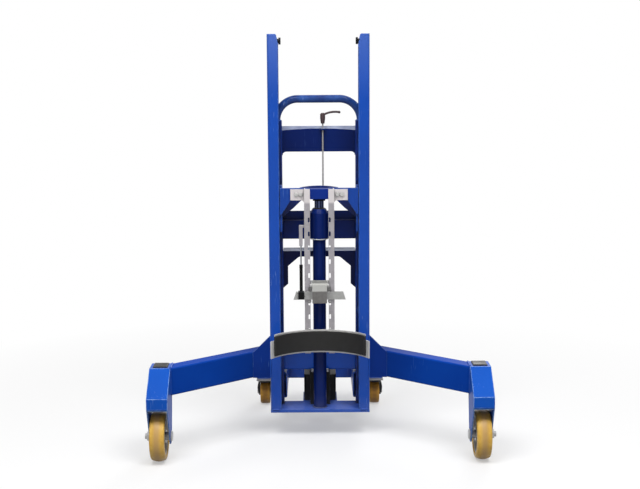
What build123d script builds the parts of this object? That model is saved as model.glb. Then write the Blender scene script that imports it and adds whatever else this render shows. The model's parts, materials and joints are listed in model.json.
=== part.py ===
from build123d import *
import os
from math import cos, radians, tan

# Drum depalletizer: a hand-pushed mast lifter on splayed straddle legs.
# Lengths are in millimetres. +Z is up, the load stands on the -Y side, the operator on the +Y side.
# Places along Y are measured from the front face of the mast, and the finished
# pieces are moved so that the origin lies on the floor under the middle of the machine.

# Mast
mast_width = 376.0
upright_flange = 40.0
upright_depth = 80.0
upright_wall = 6.0
upright_corner_radius = 9.0
upright_top_cut_width = 8.0
upright_top_cut_height = 30.0
post_width = 50.0
post_depth = 40.0
post_wall = 4.0
post_corner_radius = 4.0
post_top = 1200.0
stop_bolt_drop = 25.0
stop_bolt_radius = 8.0
stop_bolt_head_across = 22.0
stop_bolt_head_length = 8.0
stop_bolt_reach = 10.0

# Handlebar on the rear posts
handlebar_radius = 14.5
handlebar_wall = 3.0
handlebar_straight = 1.0
handlebar_bend_radius = 79.0
handlebar_set_in = 5.5

# Crossmembers between the rear posts
crossmember_setback = 12.0
upper_beam_drop = 22.0
upper_beam_height = 95.0
upper_face_thickness = 6.0
upper_face_drop = 15.0
upper_face_arch = 6.5
upper_face_corner_radius = 17.0
upper_beam_slope_depth = 14.0
middle_beam_bottom = 751.0
middle_beam_height = 73.0
middle_beam_edge_radius = 6.0
middle_upstand_height = 32.0
middle_upstand_thickness = 6.0
lower_plate_drop = 46.0
lower_plate_depth = 88.0
lower_plate_thickness = 8.0
lower_lip_height = 22.0
lower_lip_slant = 42.5
lower_lip_corner_radius = 20.0
lower_gusset_width = 18.5
lower_gusset_slope = 36.0
lower_gusset_straight = 69.0
lower_gusset_foot = 16.0

# Base
base_plate_bottom = 96.0
base_plate_thickness = 12.0
beam_wall = 5.0
beam_corner_radius = 6.0
leg_bottom = 233.0
leg_height = 101.0
leg_thickness = 60.0
leg_splay = 41.0
leg_front_reach = 246.0
base_beam_depth = 60.0
gusset_thickness = 8.0
gusset_width = 61.0
gusset_rise = 61.0
rear_beam_height = 100.0
rear_beam_width = 60.0
rear_beam_length = 293.0
rear_crossbeam_depth = 60.0

# Front wheels and the hoods that carry them
front_wheel_radius = 90.0
front_tyre_width = 54.0
front_tyre_crown = 4.0
front_tyre_shoulder = 9.0
front_core_radius = 70.0
front_core_width = 46.0
front_rim_thickness = 8.0
front_web_thickness = 12.0
front_hub_radius = 24.0
front_hub_length = 48.0
front_axle_radius = 10.0
front_axle_across = 30.0
front_axle_head = 6.0
front_axle_nut = 10.0
front_axle_end = 8.0
front_axle_lead = 18.0
front_track = 1159.0
hood_plate = 4.0
hood_inner_room = 11.5
hood_outer_room = 1.5
hood_front_reach = 86.0
hood_slope_height = 85.0
hood_skirt_height = 38.0
hood_fork_radius = 28.0
hood_cheek_setback = 36.0
hood_cap_width = 52.0
hood_cap_margin = 10.0
hood_cap_thickness = 5.0

# Rear casters
caster_track = 456.0
caster_set_in = 28.0
caster_trail = 35.0
caster_wheel_radius = 50.0
caster_tyre_width = 40.0
caster_tyre_crown = 1.0
caster_tyre_shoulder = 5.0
caster_core_radius = 39.0
caster_hub_radius = 14.0
caster_hub_length = 42.0
caster_web_thickness = 10.0
caster_rim_thickness = 6.0
caster_axle_radius = 5.0
caster_axle_across = 16.0
caster_axle_head = 6.0
caster_seat_room = 3.0
caster_fork_width = 55.0
caster_shoulder_width = 64.0
caster_shoulder_rise = 30.0
caster_cheek = 5.0
caster_cheek_radius = 15.0
caster_crown_gap = 3.6
caster_crown_radius = 31.0
caster_crown_thickness = 7.0
caster_race_radius = 20.0
caster_race_height = 5.0
caster_race_gap = 0.4
caster_plate_length = 100.0
caster_plate_width = 66.0
caster_plate_thickness = 6.0
caster_kingpin_radius = 7.0
caster_kingpin_head_radius = 11.0
caster_kingpin_head = 4.0
brake_pivot_offset = 29.0
brake_pivot_rise = 2.0
brake_barrel_radius = 6.0
brake_pin_radius = 3.5
brake_ear_radius = 8.0
brake_pedal_length = 19.0
brake_pedal_width = 40.0
brake_pedal_thickness = 4.0
brake_cam_reach = 6.2
brake_cam_radius = 3.0

# Lift cylinder
cylinder_y = 40.0
barrel_radius = 24.5
barrel_wall = 4.0
barrel_end_thickness = 12.0
head_radius = 33.5
head_top = 873.0
head_height = 111.0
head_chamfer_width = 8.0
head_chamfer_height = 15.0
head_socket_depth = 30.0
ram_radius = 17.5
ram_show = 39.0
lift_stroke = 510.0
lift_stop_gap = 10.0

# Pump unit on the base plate
pump_half_width = 38.0
pump_rod_inset = 13.0
pump_depth = 46.0
pump_height = 126.0
pump_neck_half_width = 25.0
pump_neck_length = 12.0
pump_neck_height = 80.0
tank_half_width = 62.0
tank_depth = 120.0
tank_height = 103.0
tank_edge_radius = 10.0
tank_cap_radius = 13.0
tank_cap_height = 10.0
tank_cap_offset = 26.0
base_tongue_margin = 4.0
pedal_lug_thickness = 8.0
pedal_lug_radius = 16.0
pedal_pivot_rise = 31.0
pedal_pivot_inset = 18.0
pedal_pin_radius = 6.0
pedal_pin_head_radius = 9.0
pedal_pin_head = 4.0
pedal_barrel_radius = 11.0
pedal_barrel_half_width = 21.5
pedal_arm_width = 36.0
pedal_arm_thickness = 12.0
pedal_overhang = 15.0
pedal_foot_rise = 50.0
pedal_foot_width = 110.0
pedal_foot_depth = 56.0
pedal_foot_thickness = 8.0
pedal_rib_count = 4
pedal_rib_width = 5.0
pedal_rib_height = 3.0

# Lowering control
rod_x = 15.5
rod_setoff = 7.0
rod_radius = 3.0
rod_socket_depth = 20.0
guide_lug_half_width = 9.0
guide_lug_thickness = 6.0
handle_lift = 19.0
handle_boss_height = 39.0
handle_socket_depth = 14.0
handle_boss_radius = 9.5
handle_boss_foot_radius = 7.0
handle_arm_radius = 4.0
handle_arm_length = 62.0
handle_arm_rise = 11.0
handle_tip_radius = 5.0

# Lifting carriage
carriage_gap = 2.0
carriage_front = 2.0
carriage_rim = 4.0
carriage_plate = 10.0
carriage_plate_height = 43.0
carriage_depth = 60.0
carriage_leg_length = 55.0
carriage_leg_tip = 6.0
carriage_leg_root = 42.0
carriage_side_thickness = 8.0
carriage_side_rise = 8.0
carriage_side_height = 172.0
rear_plate_thickness = 8.0
rear_plate_drop = 10.0
rear_plate_arch_half_width = 72.0
rear_plate_arch_step = 7.0
rear_plate_arch_rise = 7.0
rear_plate_notch_half_width = 57.0
rear_plate_knee_half_width = 96.0
rear_plate_knee_drop = 38.0
rear_plate_wing_drop = 34.0
crosshead_half_width = 37.5
crosshead_set_in = 2.0
crosshead_height = 38.0
roller_width = 20.0
roller_upper_inset = 33.0
roller_lower_inset = 35.0
roller_edge = 2.0
roller_flange_clearance = 1.0
roller_pin_radius = 8.0
roller_collar_radius = 13.0
roller_collar_length = 4.0
roller_washer_thickness = 3.0

# Gripping head
rail_inner_half_gap = 34.0
rail_face_width = 21.5
rail_depth = 30.0
rail_thickness = 4.0
rail_length = 619.0
bracket_width = 51.0
bracket_drop = 4.0
bracket_height = 41.0
bracket_thickness = 6.0
bracket_fillet = 12.0
slot_width = 6.5
slot_length = 19.0
slot_edge = 1.5
slot_pitch = 52.0
slot_count = 10
slot_start = 36.0
head_bolt_radius = 4.0
head_bolt_across = 13.0
head_bolt_head = 5.5
head_bolt_inner_offset = 12.5
head_bolt_spacing = 17.0
head_bolt_drop = 19.0
saddle_bolt_radius = 3.0
saddle_bolt_across = 10.0
saddle_bolt_head = 4.0
saddle_bolt_rows = 2
saddle_bolt_grip = 7.0
hanger_drop = 135.0
hanger_height = 77.0
hanger_width = 13.0
hanger_depth = 12.0
hanger_tab = 9.0

# Beak slider, jaw and gas spring
slider_travel = 70.0
slider_rear_half_width = 47.0
slider_rear_thickness = 8.0
slider_stop_row = 3
slider_stop_radius = 8.0
slider_stop_head = 5.0
slider_side_clearance = 1.0
slider_face_clearance = 0.3
slider_neck_height = 40.0
backrest_half_width = 97.0
backrest_height = 30.0
backrest_thickness = 6.0
backrest_end_slant = 9.5
jaw_half_width = 27.0
jaw_side_clearance = 0.6
jaw_ear_thickness = 5.0
jaw_ear_drop = 18.0
jaw_pivot_reach = 12.7
jaw_pivot_drop = 15.0
jaw_knuckle_radius = 12.0
jaw_length = 35.0
jaw_front_fall = 15.0
jaw_front_height = 45.0
jaw_lip = 8.0
jaw_roof = 14.0
jaw_heel_height = 8.0
jaw_pin_radius = 4.0
jaw_pin_head_radius = 6.5
jaw_pin_head = 3.0
spring_side_gap = 13.0
spring_set_in = 12.0
spring_rod_radius = 3.0
spring_rod_overlap = 15.0
spring_body_radius = 6.0
spring_body_floor = 6.0
spring_end_gap = 2.0
spring_foot_width = 22.0
spring_foot_front = 6.0
spring_foot_drop = 10.0
spring_notch_depth = 18.0

# Saddle under the beak
saddle_inner_radius = 203.0
saddle_thickness = 5.0
saddle_rise = 6.0
saddle_height = 86.0
saddle_half_angle = 61.0
saddle_corner_drop = 22.0
saddle_corner_angle = 7.0
saddle_pad_thickness = 8.0
saddle_pad_margin = 6.0
saddle_pad_half_angle = 56.0

# Clearances
running_clearance = 0.06
bolt_clearance = 0.25
socket_clearance = 0.05

# Lifting carriage at rest: it stands on the ram, above the cylinder head
head_bottom = head_top - head_height
crosshead_bottom = head_top + ram_show
crosshead_top = crosshead_bottom + crosshead_height
carriage_top = crosshead_top + carriage_rim
carriage_middle_bottom = carriage_top - carriage_plate_height
carriage_leg_bottom = carriage_middle_bottom - carriage_leg_length
carriage_side_top = carriage_top + carriage_side_rise
carriage_side_bottom = carriage_side_top - carriage_side_height
carriage_rear = carriage_front + carriage_depth
rear_plate_top = carriage_top - rear_plate_drop
rear_plate_arch_end = rear_plate_top + rear_plate_arch_step
rear_plate_arch_top = rear_plate_arch_end + rear_plate_arch_rise
rear_plate_knee = crosshead_bottom - rear_plate_knee_drop
rear_plate_bottom = rear_plate_knee - rear_plate_wing_drop
crosshead_front = carriage_front + crosshead_set_in
roller_heights = (carriage_side_bottom + roller_lower_inset, carriage_side_top - roller_upper_inset)

# Mast: as high as the lift needs
stop_bolt_height = carriage_side_top + lift_stroke + lift_stop_gap + stop_bolt_head_across / 2
mast_top = stop_bolt_height + stop_bolt_drop
mast_outer = mast_width / 2
upright_inner = mast_outer - upright_flange
web_inner = mast_outer - upright_wall
post_inner = mast_outer - post_width
post_middle_x = mast_outer - post_width / 2
post_rear = upright_depth + post_depth
post_middle_y = upright_depth + post_depth / 2
handlebar_x = post_middle_x - handlebar_set_in
handlebar_top = post_top + handlebar_straight + handlebar_bend_radius
crossmember_front = upright_depth + crossmember_setback
upper_beam_top = post_top - upper_beam_drop
upper_beam_bottom = upper_beam_top - upper_beam_height
upper_face_end_height = upper_beam_top - upper_face_drop
upper_face_middle_height = upper_face_end_height + upper_face_arch
middle_beam_top = middle_beam_bottom + middle_beam_height
middle_upstand_top = middle_beam_top + middle_upstand_height
lower_plate_top = middle_beam_bottom - lower_plate_drop
lower_lip_bottom = lower_plate_top - lower_lip_height
lower_lip_half_width = post_inner - lower_gusset_width - lower_lip_slant
lower_gusset_shoulder = lower_lip_bottom - lower_gusset_slope
lower_gusset_waist = lower_gusset_shoulder - lower_gusset_straight
lower_gusset_bottom = lower_gusset_waist - lower_gusset_foot

# Base and front wheels
base_plate_top = base_plate_bottom + base_plate_thickness
leg_top = leg_bottom + leg_height
leg_run = leg_thickness / cos(radians(leg_splay))
leg_front_end = -leg_front_reach
leg_rear_end = leg_front_end + leg_run
front_wheel_x = front_track / 2
front_axle_y = leg_front_end - front_axle_lead
hood_inner_x = front_wheel_x - front_tyre_width / 2 - hood_inner_room - hood_plate
hood_outer_x = front_wheel_x + front_tyre_width / 2 + hood_outer_room + hood_plate
hood_middle_x = (hood_inner_x + hood_outer_x) / 2
hood_front = front_axle_y - hood_front_reach
hood_front_top = leg_top - hood_slope_height
hood_front_bottom = hood_front_top - hood_skirt_height

# Rear casters, and the rear beams that rest on them
caster_x = caster_track / 2
caster_crown_bottom = 2 * caster_wheel_radius + caster_crown_gap
caster_crown_top = caster_crown_bottom + caster_crown_thickness
caster_plate_bottom = caster_crown_top + caster_race_gap + caster_race_height
rear_beam_bottom = caster_plate_bottom + caster_plate_thickness
rear_beam_top = rear_beam_bottom + rear_beam_height
rear_crossbeam_front = post_rear + rear_beam_length
rear_crossbeam_rear = rear_crossbeam_front + rear_crossbeam_depth
rear_crossbeam_half_width = caster_x + caster_plate_width / 2
caster_swivel_y = rear_crossbeam_front + caster_set_in
brake_pivot_y = caster_trail + brake_pivot_offset
brake_pivot_z = 2 * caster_wheel_radius + brake_pivot_rise

# Lift cylinder, pump and lowering control
barrel_bore_radius = barrel_radius - barrel_wall
ram_bottom = base_plate_top + barrel_end_thickness
rod_y = crossmember_front - rod_setoff
pump_front = rod_y - pump_rod_inset
pump_top = base_plate_top + pump_height
tank_front = pump_front + pump_depth + pump_neck_length
tank_rear = tank_front + tank_depth
tank_top = base_plate_top + tank_height
pedal_pivot_y = tank_rear - pedal_pivot_inset
pedal_pivot_z = tank_top + pedal_pivot_rise
pedal_foot_y = rear_crossbeam_rear + pedal_overhang
handle_boss_bottom = upper_face_middle_height + handle_lift
handle_boss_top = handle_boss_bottom + handle_boss_height
rod_top = handle_boss_bottom + handle_socket_depth

# Rollers in the uprights
carriage_half_width = upright_inner - carriage_gap
side_inner = carriage_half_width - carriage_side_thickness
roller_y = upright_depth / 2
roller_radius = upright_depth / 2 - upright_wall - roller_flange_clearance
roller_start = carriage_half_width + roller_collar_length
roller_end = roller_start + roller_width

# Gripping head, hung on the carriage
rail_bottom = carriage_top - rail_length
rail_outer = rail_inner_half_gap + rail_face_width
bracket_top = carriage_top - bracket_drop
bracket_bottom = bracket_top - bracket_height
bracket_front = carriage_front - bracket_thickness
rail_front = bracket_front - rail_depth
rail_back_of_face = rail_front + rail_thickness
slot_middle = rail_inner_half_gap + slot_edge + slot_width / 2
slot_lowest = rail_bottom + slot_start
head_bolt_height = bracket_top - head_bolt_drop
head_bolt_places = (rail_outer + head_bolt_inner_offset, rail_outer + head_bolt_inner_offset + head_bolt_spacing)
saddle_bottom = rail_bottom + saddle_rise
saddle_top = saddle_bottom + saddle_height
saddle_outer_radius = saddle_inner_radius + saddle_thickness
saddle_y = rail_front - saddle_outer_radius

# Beak slider on its stops, the jaw in front of it and the gas spring above it
slider_stop_height = slot_lowest + slot_pitch * slider_stop_row + (slot_length - slot_width) / 2
slider_rear_front = rail_back_of_face + slider_face_clearance
backrest_bottom = slider_stop_height + slider_stop_radius
backrest_top = backrest_bottom + backrest_height
backrest_rear = rail_front - slider_face_clearance
backrest_front = backrest_rear - backrest_thickness
slider_neck_top = backrest_top + slider_neck_height
jaw_pivot_y = backrest_front - jaw_pivot_reach
jaw_pivot_z = slider_neck_top - jaw_pivot_drop
jaw_ear_bottom = jaw_pivot_z - jaw_ear_drop
jaw_ear_inner = jaw_half_width + jaw_side_clearance
jaw_ear_outer = jaw_ear_inner + jaw_ear_thickness
jaw_front = jaw_pivot_y - jaw_length
jaw_front_top = jaw_pivot_z - jaw_front_fall
jaw_tip = jaw_front_top - jaw_front_height
hanger_top = carriage_top - hanger_drop
hanger_bottom = hanger_top - hanger_height
spring_x = -(rail_outer + spring_side_gap)
spring_y = rail_front + spring_set_in
spring_body_bottom = backrest_top
spring_body_top = hanger_bottom - slider_travel - spring_end_gap
spring_notch_bottom = backrest_top - spring_notch_depth
spring_foot_bottom = spring_notch_bottom - spring_foot_drop

# The machine's middle, which is put over the origin
machine_front = front_axle_y - front_wheel_radius
machine_rear = caster_swivel_y + caster_trail + caster_wheel_radius
to_origin = Pos(0, -(machine_front + machine_rear) / 2, 0)


def block(x, y, z):
    """A box between the low and high places given for each axis."""
    spans = (x, y, z)
    middle = [(low + high) / 2 for low, high in spans]
    size = [high - low for low, high in spans]
    return Pos(*middle) * Box(*size)


def bar_x(radius, x, y, z):
    """A round bar along X between two places."""
    return Pos((x[0] + x[1]) / 2, y, z) * Rot(0, 90, 0) * Cylinder(radius, x[1] - x[0])


def bar_y(radius, x, y, z):
    """A round bar along Y between two places."""
    return Pos(x, (y[0] + y[1]) / 2, z) * Rot(90, 0, 0) * Cylinder(radius, y[1] - y[0])


def bar_z(radius, x, y, z):
    """An upright round bar between two heights."""
    return Pos(x, y, (z[0] + z[1]) / 2) * Cylinder(radius, z[1] - z[0])


def hexagon_x(across, x, y, z):
    """A hexagonal head along X."""
    head = extrude(RegularPolygon(across / 2, 6, major_radius=False), x[1] - x[0])
    return Pos(x[0], y, z) * Rot(0, 90, 0) * head


def hexagon_y(across, x, y, z):
    """A hexagonal head along Y."""
    head = extrude(RegularPolygon(across / 2, 6, major_radius=False), y[1] - y[0])
    return Pos(x, y[1], z) * Rot(90, 0, 0) * head


def outline(points):
    """A flat face inside straight edges."""
    return make_face(Polyline(*points, close=True))


def front_plate(face, y):
    """A face drawn in X and Z, made into a plate between two places along Y."""
    return Pos(0, y[1], 0) * extrude(Plane.XZ * face, y[1] - y[0])


def side_plate(face, x):
    """A face drawn in Y and Z, made into a plate between two places along X."""
    return Pos(x[0], 0, 0) * extrude(Plane.YZ * face, x[1] - x[0])


def flat_plate(face, z):
    """A face drawn in X and Y, made into a plate between two heights."""
    return Pos(0, 0, z[0]) * extrude(face, z[1] - z[0])


def turned(profile):
    """A face drawn as radius and height, turned about Z."""
    return revolve(Plane.XZ * profile, Axis.Z)


def other_side(shape):
    """The same piece on the left, or on the right."""
    return mirror(shape, about=Plane.YZ)


def rounded_beam(x, y, z, along):
    """A solid bar with its long edges rounded like those of a rolled tube."""
    long_edges = {"x": Axis.X, "y": Axis.Y, "z": Axis.Z}[along]
    bar = block(x, y, z)
    return fillet(bar.edges().filter_by(long_edges), beam_corner_radius)


def closed_beam(x, y, z, wall):
    """A rectangular tube along X with a plate welded into each end."""
    spans = (x, y, z)
    inside = [(low + wall, high - wall) for low, high in spans]
    return rounded_beam(x, y, z, "x") - block(*inside)


def box_tube(x, y, z, wall, along):
    """A rectangular tube, open at both ends along the given axis."""
    spans = {"x": x, "y": y, "z": z}
    inside = {name: (low + wall, high - wall) for name, (low, high) in spans.items()}
    inside[along] = spans[along]
    return rounded_beam(x, y, z, along) - block(inside["x"], inside["y"], inside["z"])


def save(name, *shapes):
    """Writes the solids of one named piece, or of one group of like pieces."""
    solids = [solid for shape in shapes for solid in shape.solids()]
    whole = Compound(solids) if len(solids) > 1 else solids[0]
    export_step(to_origin * whole, f"parts/{name}.step")


def upright():
    """The right upright: a folded channel with its mouth towards the load carriage."""
    outer = Rectangle(upright_flange, upright_depth, align=(Align.MIN, Align.MIN))
    outer = Pos(upright_inner, 0) * outer
    web_corners = outer.vertices().group_by(Axis.X)[-1]
    outer = fillet(web_corners, upright_corner_radius)
    mouth_width = upright_flange - upright_wall
    mouth = Rectangle(mouth_width, upright_depth - 2 * upright_wall, align=(Align.MIN, Align.MIN))
    mouth = Pos(upright_inner, upright_wall) * mouth
    mouth_corners = mouth.vertices().group_by(Axis.X)[-1]
    mouth = fillet(mouth_corners, upright_corner_radius - upright_wall)
    channel = flat_plate(outer - mouth, (base_plate_top, mast_top))
    cut = outline([
        (upright_inner, mast_top - upright_top_cut_height),
        (upright_inner + upright_top_cut_width, mast_top),
        (upright_inner, mast_top),
    ])
    return channel - front_plate(cut, (0, upright_depth))


def rear_post():
    """The right rear post: a closed box tube behind the upright."""
    x = (post_inner, mast_outer)
    y = (upright_depth, post_rear)
    tube = block(x, y, (base_plate_top, post_top))
    tube = fillet(tube.edges().filter_by(Axis.Z), post_corner_radius)
    inside_x = (post_inner + post_wall, mast_outer - post_wall)
    inside_y = (upright_depth + post_wall, post_rear - post_wall)
    return tube - block(inside_x, inside_y, (base_plate_top, post_top - post_wall))


def handlebar():
    """One bent tube standing on the two rear posts."""
    path = FilletPolyline(
        (-handlebar_x, post_middle_y, post_top),
        (-handlebar_x, post_middle_y, handlebar_top),
        (handlebar_x, post_middle_y, handlebar_top),
        (handlebar_x, post_middle_y, post_top),
        radius=handlebar_bend_radius,
    )
    start = Plane(origin=path @ 0, z_dir=path % 0)
    ring = Circle(handlebar_radius) - Circle(handlebar_radius - handlebar_wall)
    return sweep(start * ring, path)


def upper_crossmember():
    """A beam with a sloped top edge behind a face plate with an arched top and rounded lower corners."""
    reach = post_inner - upper_face_corner_radius
    corner_bottom = upper_beam_bottom - upper_face_corner_radius
    corner_middle = upper_face_corner_radius * (1 - cos(radians(45)))
    edges = [
        Line((-post_inner, upper_face_end_height), (-post_inner, corner_bottom)),
        ThreePointArc(
            (-post_inner, corner_bottom),
            (-post_inner + corner_middle, upper_beam_bottom - corner_middle),
            (-reach, upper_beam_bottom),
        ),
        Line((-reach, upper_beam_bottom), (reach, upper_beam_bottom)),
        ThreePointArc(
            (reach, upper_beam_bottom),
            (post_inner - corner_middle, upper_beam_bottom - corner_middle),
            (post_inner, corner_bottom),
        ),
        Line((post_inner, corner_bottom), (post_inner, upper_face_end_height)),
        ThreePointArc(
            (post_inner, upper_face_end_height),
            (0, upper_face_middle_height),
            (-post_inner, upper_face_end_height),
        ),
    ]
    face_rear = crossmember_front + upper_face_thickness
    face = front_plate(make_face(edges), (crossmember_front, face_rear))
    section = outline([
        (face_rear, upper_beam_bottom),
        (face_rear, upper_face_end_height),
        (face_rear + upper_beam_slope_depth, upper_beam_top),
        (post_rear, upper_beam_top),
        (post_rear, upper_beam_bottom),
    ])
    beam = side_plate(section, (-post_inner, post_inner))
    lug_z = (upper_face_middle_height - guide_lug_thickness, upper_face_middle_height)
    lug_x = (rod_x - guide_lug_half_width, rod_x + guide_lug_half_width)
    lug = block(lug_x, (rod_y, crossmember_front), lug_z)
    lug += bar_z(guide_lug_half_width, rod_x, rod_y, lug_z)
    hole = bar_z(rod_radius + running_clearance, rod_x, rod_y, lug_z)
    return face + beam + lug - hole


def middle_crossmember():
    """A box beam with an upstand along its rear edge."""
    x = (-post_inner, post_inner)
    beam = block(x, (crossmember_front, post_rear), (middle_beam_bottom, middle_beam_top))
    front_edges = beam.edges().filter_by(Axis.X).group_by(Axis.Y)[0]
    beam = fillet(front_edges, middle_beam_edge_radius)
    upstand_y = (post_rear - middle_upstand_thickness, post_rear)
    return beam + block(x, upstand_y, (middle_beam_top, middle_upstand_top))


def lower_crossmember():
    """A shelf plate with a front lip that runs down both posts as gussets."""
    waist = post_inner - lower_gusset_width
    right = [
        (post_inner, lower_gusset_bottom),
        (waist, lower_gusset_waist),
        (waist, lower_gusset_shoulder),
        (lower_lip_half_width, lower_lip_bottom),
    ]
    left = [(-x, z) for x, z in reversed(right)]
    lip = outline([(-post_inner, lower_plate_top), (post_inner, lower_plate_top)] + right + left)
    lip_corners = lip.vertices().group_by(Axis.Y)[-2]
    lip = fillet(lip_corners, lower_lip_corner_radius)
    lip_y = (crossmember_front, crossmember_front + lower_plate_thickness)
    shelf_y = (lip_y[1], crossmember_front + lower_plate_depth)
    shelf_z = (lower_plate_top - lower_plate_thickness, lower_plate_top)
    return front_plate(lip, lip_y) + block((-post_inner, post_inner), shelf_y, shelf_z)


def stop_bolt():
    """The right stop bolt, across the channel near the top of the upright."""
    head_end = upright_inner - stop_bolt_reach + stop_bolt_head_length
    head = hexagon_x(stop_bolt_head_across, (upright_inner - stop_bolt_reach, head_end), roller_y, stop_bolt_height)
    return head + bar_x(stop_bolt_radius, (head_end, web_inner), roller_y, stop_bolt_height)


def base_plate():
    """The foot of the mast, with a tongue under the pump unit."""
    z = (base_plate_bottom, base_plate_top)
    plate = block((-mast_outer, mast_outer), (0, post_rear), z)
    tongue_half = tank_half_width + base_tongue_margin
    return plate + block((-tongue_half, tongue_half), (post_rear, tank_rear + base_tongue_margin), z)


def leg_plan(inset):
    """The leg seen from above, between the mast and the wheel hood, less a wall all round."""
    shift = inset / cos(radians(leg_splay))
    spread = (hood_inner_x - mast_outer) * tan(radians(leg_splay))
    return outline([
        (mast_outer, leg_front_end + spread + shift),
        (hood_inner_x, leg_front_end + shift),
        (hood_inner_x, leg_rear_end - shift),
        (mast_outer, leg_rear_end + spread - shift),
    ])


def leg():
    """The right straddle leg: a box tube cut to fit the mast and the wheel hood."""
    tube = flat_plate(leg_plan(0), (leg_bottom, leg_top))
    level_edges = tube.edges().filter_by(Axis.Z, reverse=True)
    tube = fillet(level_edges.filter_by(Axis.Y, reverse=True), beam_corner_radius)
    return tube - flat_plate(leg_plan(beam_wall), (leg_bottom + beam_wall, leg_top - beam_wall))


def leg_gusset():
    """The right gusset plate, filling the corner between the leg and the upright."""
    outer = mast_outer + gusset_width
    rise = leg_top + gusset_rise
    margin = gusset_thickness / tan(radians(leg_splay))
    face = outline([
        (mast_outer, leg_bottom),
        (outer + margin, leg_bottom),
        (outer + margin, leg_top),
        (outer, leg_top),
        (mast_outer, rise),
    ])
    plate = front_plate(face, (0, gusset_thickness))
    return plate - flat_plate(leg_plan(0), (leg_bottom, leg_top))


def base_crossbeam():
    """The closed beam behind the rear posts, between the roots of the legs."""
    y = (post_rear, post_rear + base_beam_depth)
    return closed_beam((-mast_outer, mast_outer), y, (leg_bottom, leg_top), beam_wall)


def rear_beam():
    """The right beam from the mast back to the rear crossbeam."""
    x = (mast_outer - rear_beam_width, mast_outer)
    return box_tube(x, (post_rear, rear_crossbeam_front), (rear_beam_bottom, rear_beam_top), beam_wall, "y")


def rear_crossbeam():
    """The closed beam that the casters are fixed to."""
    x = (-rear_crossbeam_half_width, rear_crossbeam_half_width)
    y = (rear_crossbeam_front, rear_crossbeam_rear)
    return closed_beam(x, y, (rear_beam_bottom, rear_beam_top), beam_wall)


def wheel_hood():
    """The right wheel hood: folded front, slope and roof, with both sides running down as a fork."""
    fork_bottom = [
        (front_axle_y + hood_fork_radius, front_wheel_radius),
        (front_axle_y - hood_fork_radius, front_wheel_radius),
    ]
    side = outline([
        (hood_front, hood_front_bottom),
        (hood_front, hood_front_top),
        (leg_front_end, leg_top),
        (leg_rear_end, leg_top),
        (leg_rear_end, leg_bottom),
        (leg_rear_end - hood_cheek_setback, leg_bottom),
    ] + fork_bottom)
    side += Pos(front_axle_y, front_wheel_radius) * Circle(hood_fork_radius)
    body = side_plate(side, (hood_inner_x, hood_outer_x))
    slope = (leg_top - hood_front_top) / (leg_front_end - hood_front)
    drop = hood_plate * (1 + slope ** 2) ** 0.5
    roof = leg_top - hood_plate
    roof_start = hood_front + (roof + drop - hood_front_top) / slope
    inside = outline([
        (hood_front + hood_plate, 0),
        (hood_front + hood_plate, hood_front_top + hood_plate * slope - drop),
        (roof_start, roof),
        (leg_rear_end - hood_plate, roof),
        (leg_rear_end - hood_plate, 0),
    ])
    body -= side_plate(inside, (hood_inner_x + hood_plate, hood_outer_x - hood_plate))
    hole = bar_x(front_axle_radius + bolt_clearance, (hood_inner_x, hood_outer_x), front_axle_y, front_wheel_radius)
    return body - hole


def hood_cap():
    """The right black cap on the roof of the wheel hood."""
    half = hood_cap_width / 2
    y = (leg_front_end + hood_cap_margin, leg_rear_end - hood_cap_margin)
    cap = block((hood_middle_x - half, hood_middle_x + half), y, (leg_top, leg_top + hood_cap_thickness))
    return chamfer(cap.edges().group_by(Axis.Z)[-1], hood_cap_thickness / 2)


def wheel_tyre(radius, width, crown, shoulder, bore):
    """A tyre about Z with a slightly crowned tread and rounded shoulders."""
    half = width / 2
    edge = radius - crown
    bend = shoulder * (1 - cos(radians(45)))
    top = half - shoulder
    edges = [
        Line((bore, -half), (edge - shoulder, -half)),
        ThreePointArc((edge - shoulder, -half), (edge - bend, bend - half), (edge, -top)),
        ThreePointArc((edge, -top), (radius, 0), (edge, top)),
        ThreePointArc((edge, top), (edge - bend, half - bend), (edge - shoulder, half)),
        Line((edge - shoulder, half), (bore, half)),
        Line((bore, half), (bore, -half)),
    ]
    return turned(make_face(edges))


def wheel_core(radius, width, rim, web, hub_radius, hub_length, bore):
    """A wheel body about Z: rim, web and hub with a plain bore."""
    half = width / 2
    hub_half = hub_length / 2
    profile = outline([
        (bore, -hub_half),
        (hub_radius, -hub_half),
        (hub_radius, -web / 2),
        (radius - rim, -web / 2),
        (radius - rim, -half),
        (radius, -half),
        (radius, half),
        (radius - rim, half),
        (radius - rim, web / 2),
        (hub_radius, web / 2),
        (hub_radius, hub_half),
        (bore, hub_half),
    ])
    return turned(profile)


def front_tyre():
    """The right front tyre."""
    tyre = wheel_tyre(
        front_wheel_radius, front_tyre_width, front_tyre_crown, front_tyre_shoulder, front_core_radius
    )
    return Pos(front_wheel_x, front_axle_y, front_wheel_radius) * Rot(0, 90, 0) * tyre


def front_core():
    """The right front wheel body."""
    core = wheel_core(
        front_core_radius,
        front_core_width,
        front_rim_thickness,
        front_web_thickness,
        front_hub_radius,
        front_hub_length,
        front_axle_radius + running_clearance,
    )
    return Pos(front_wheel_x, front_axle_y, front_wheel_radius) * Rot(0, 90, 0) * core


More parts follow.
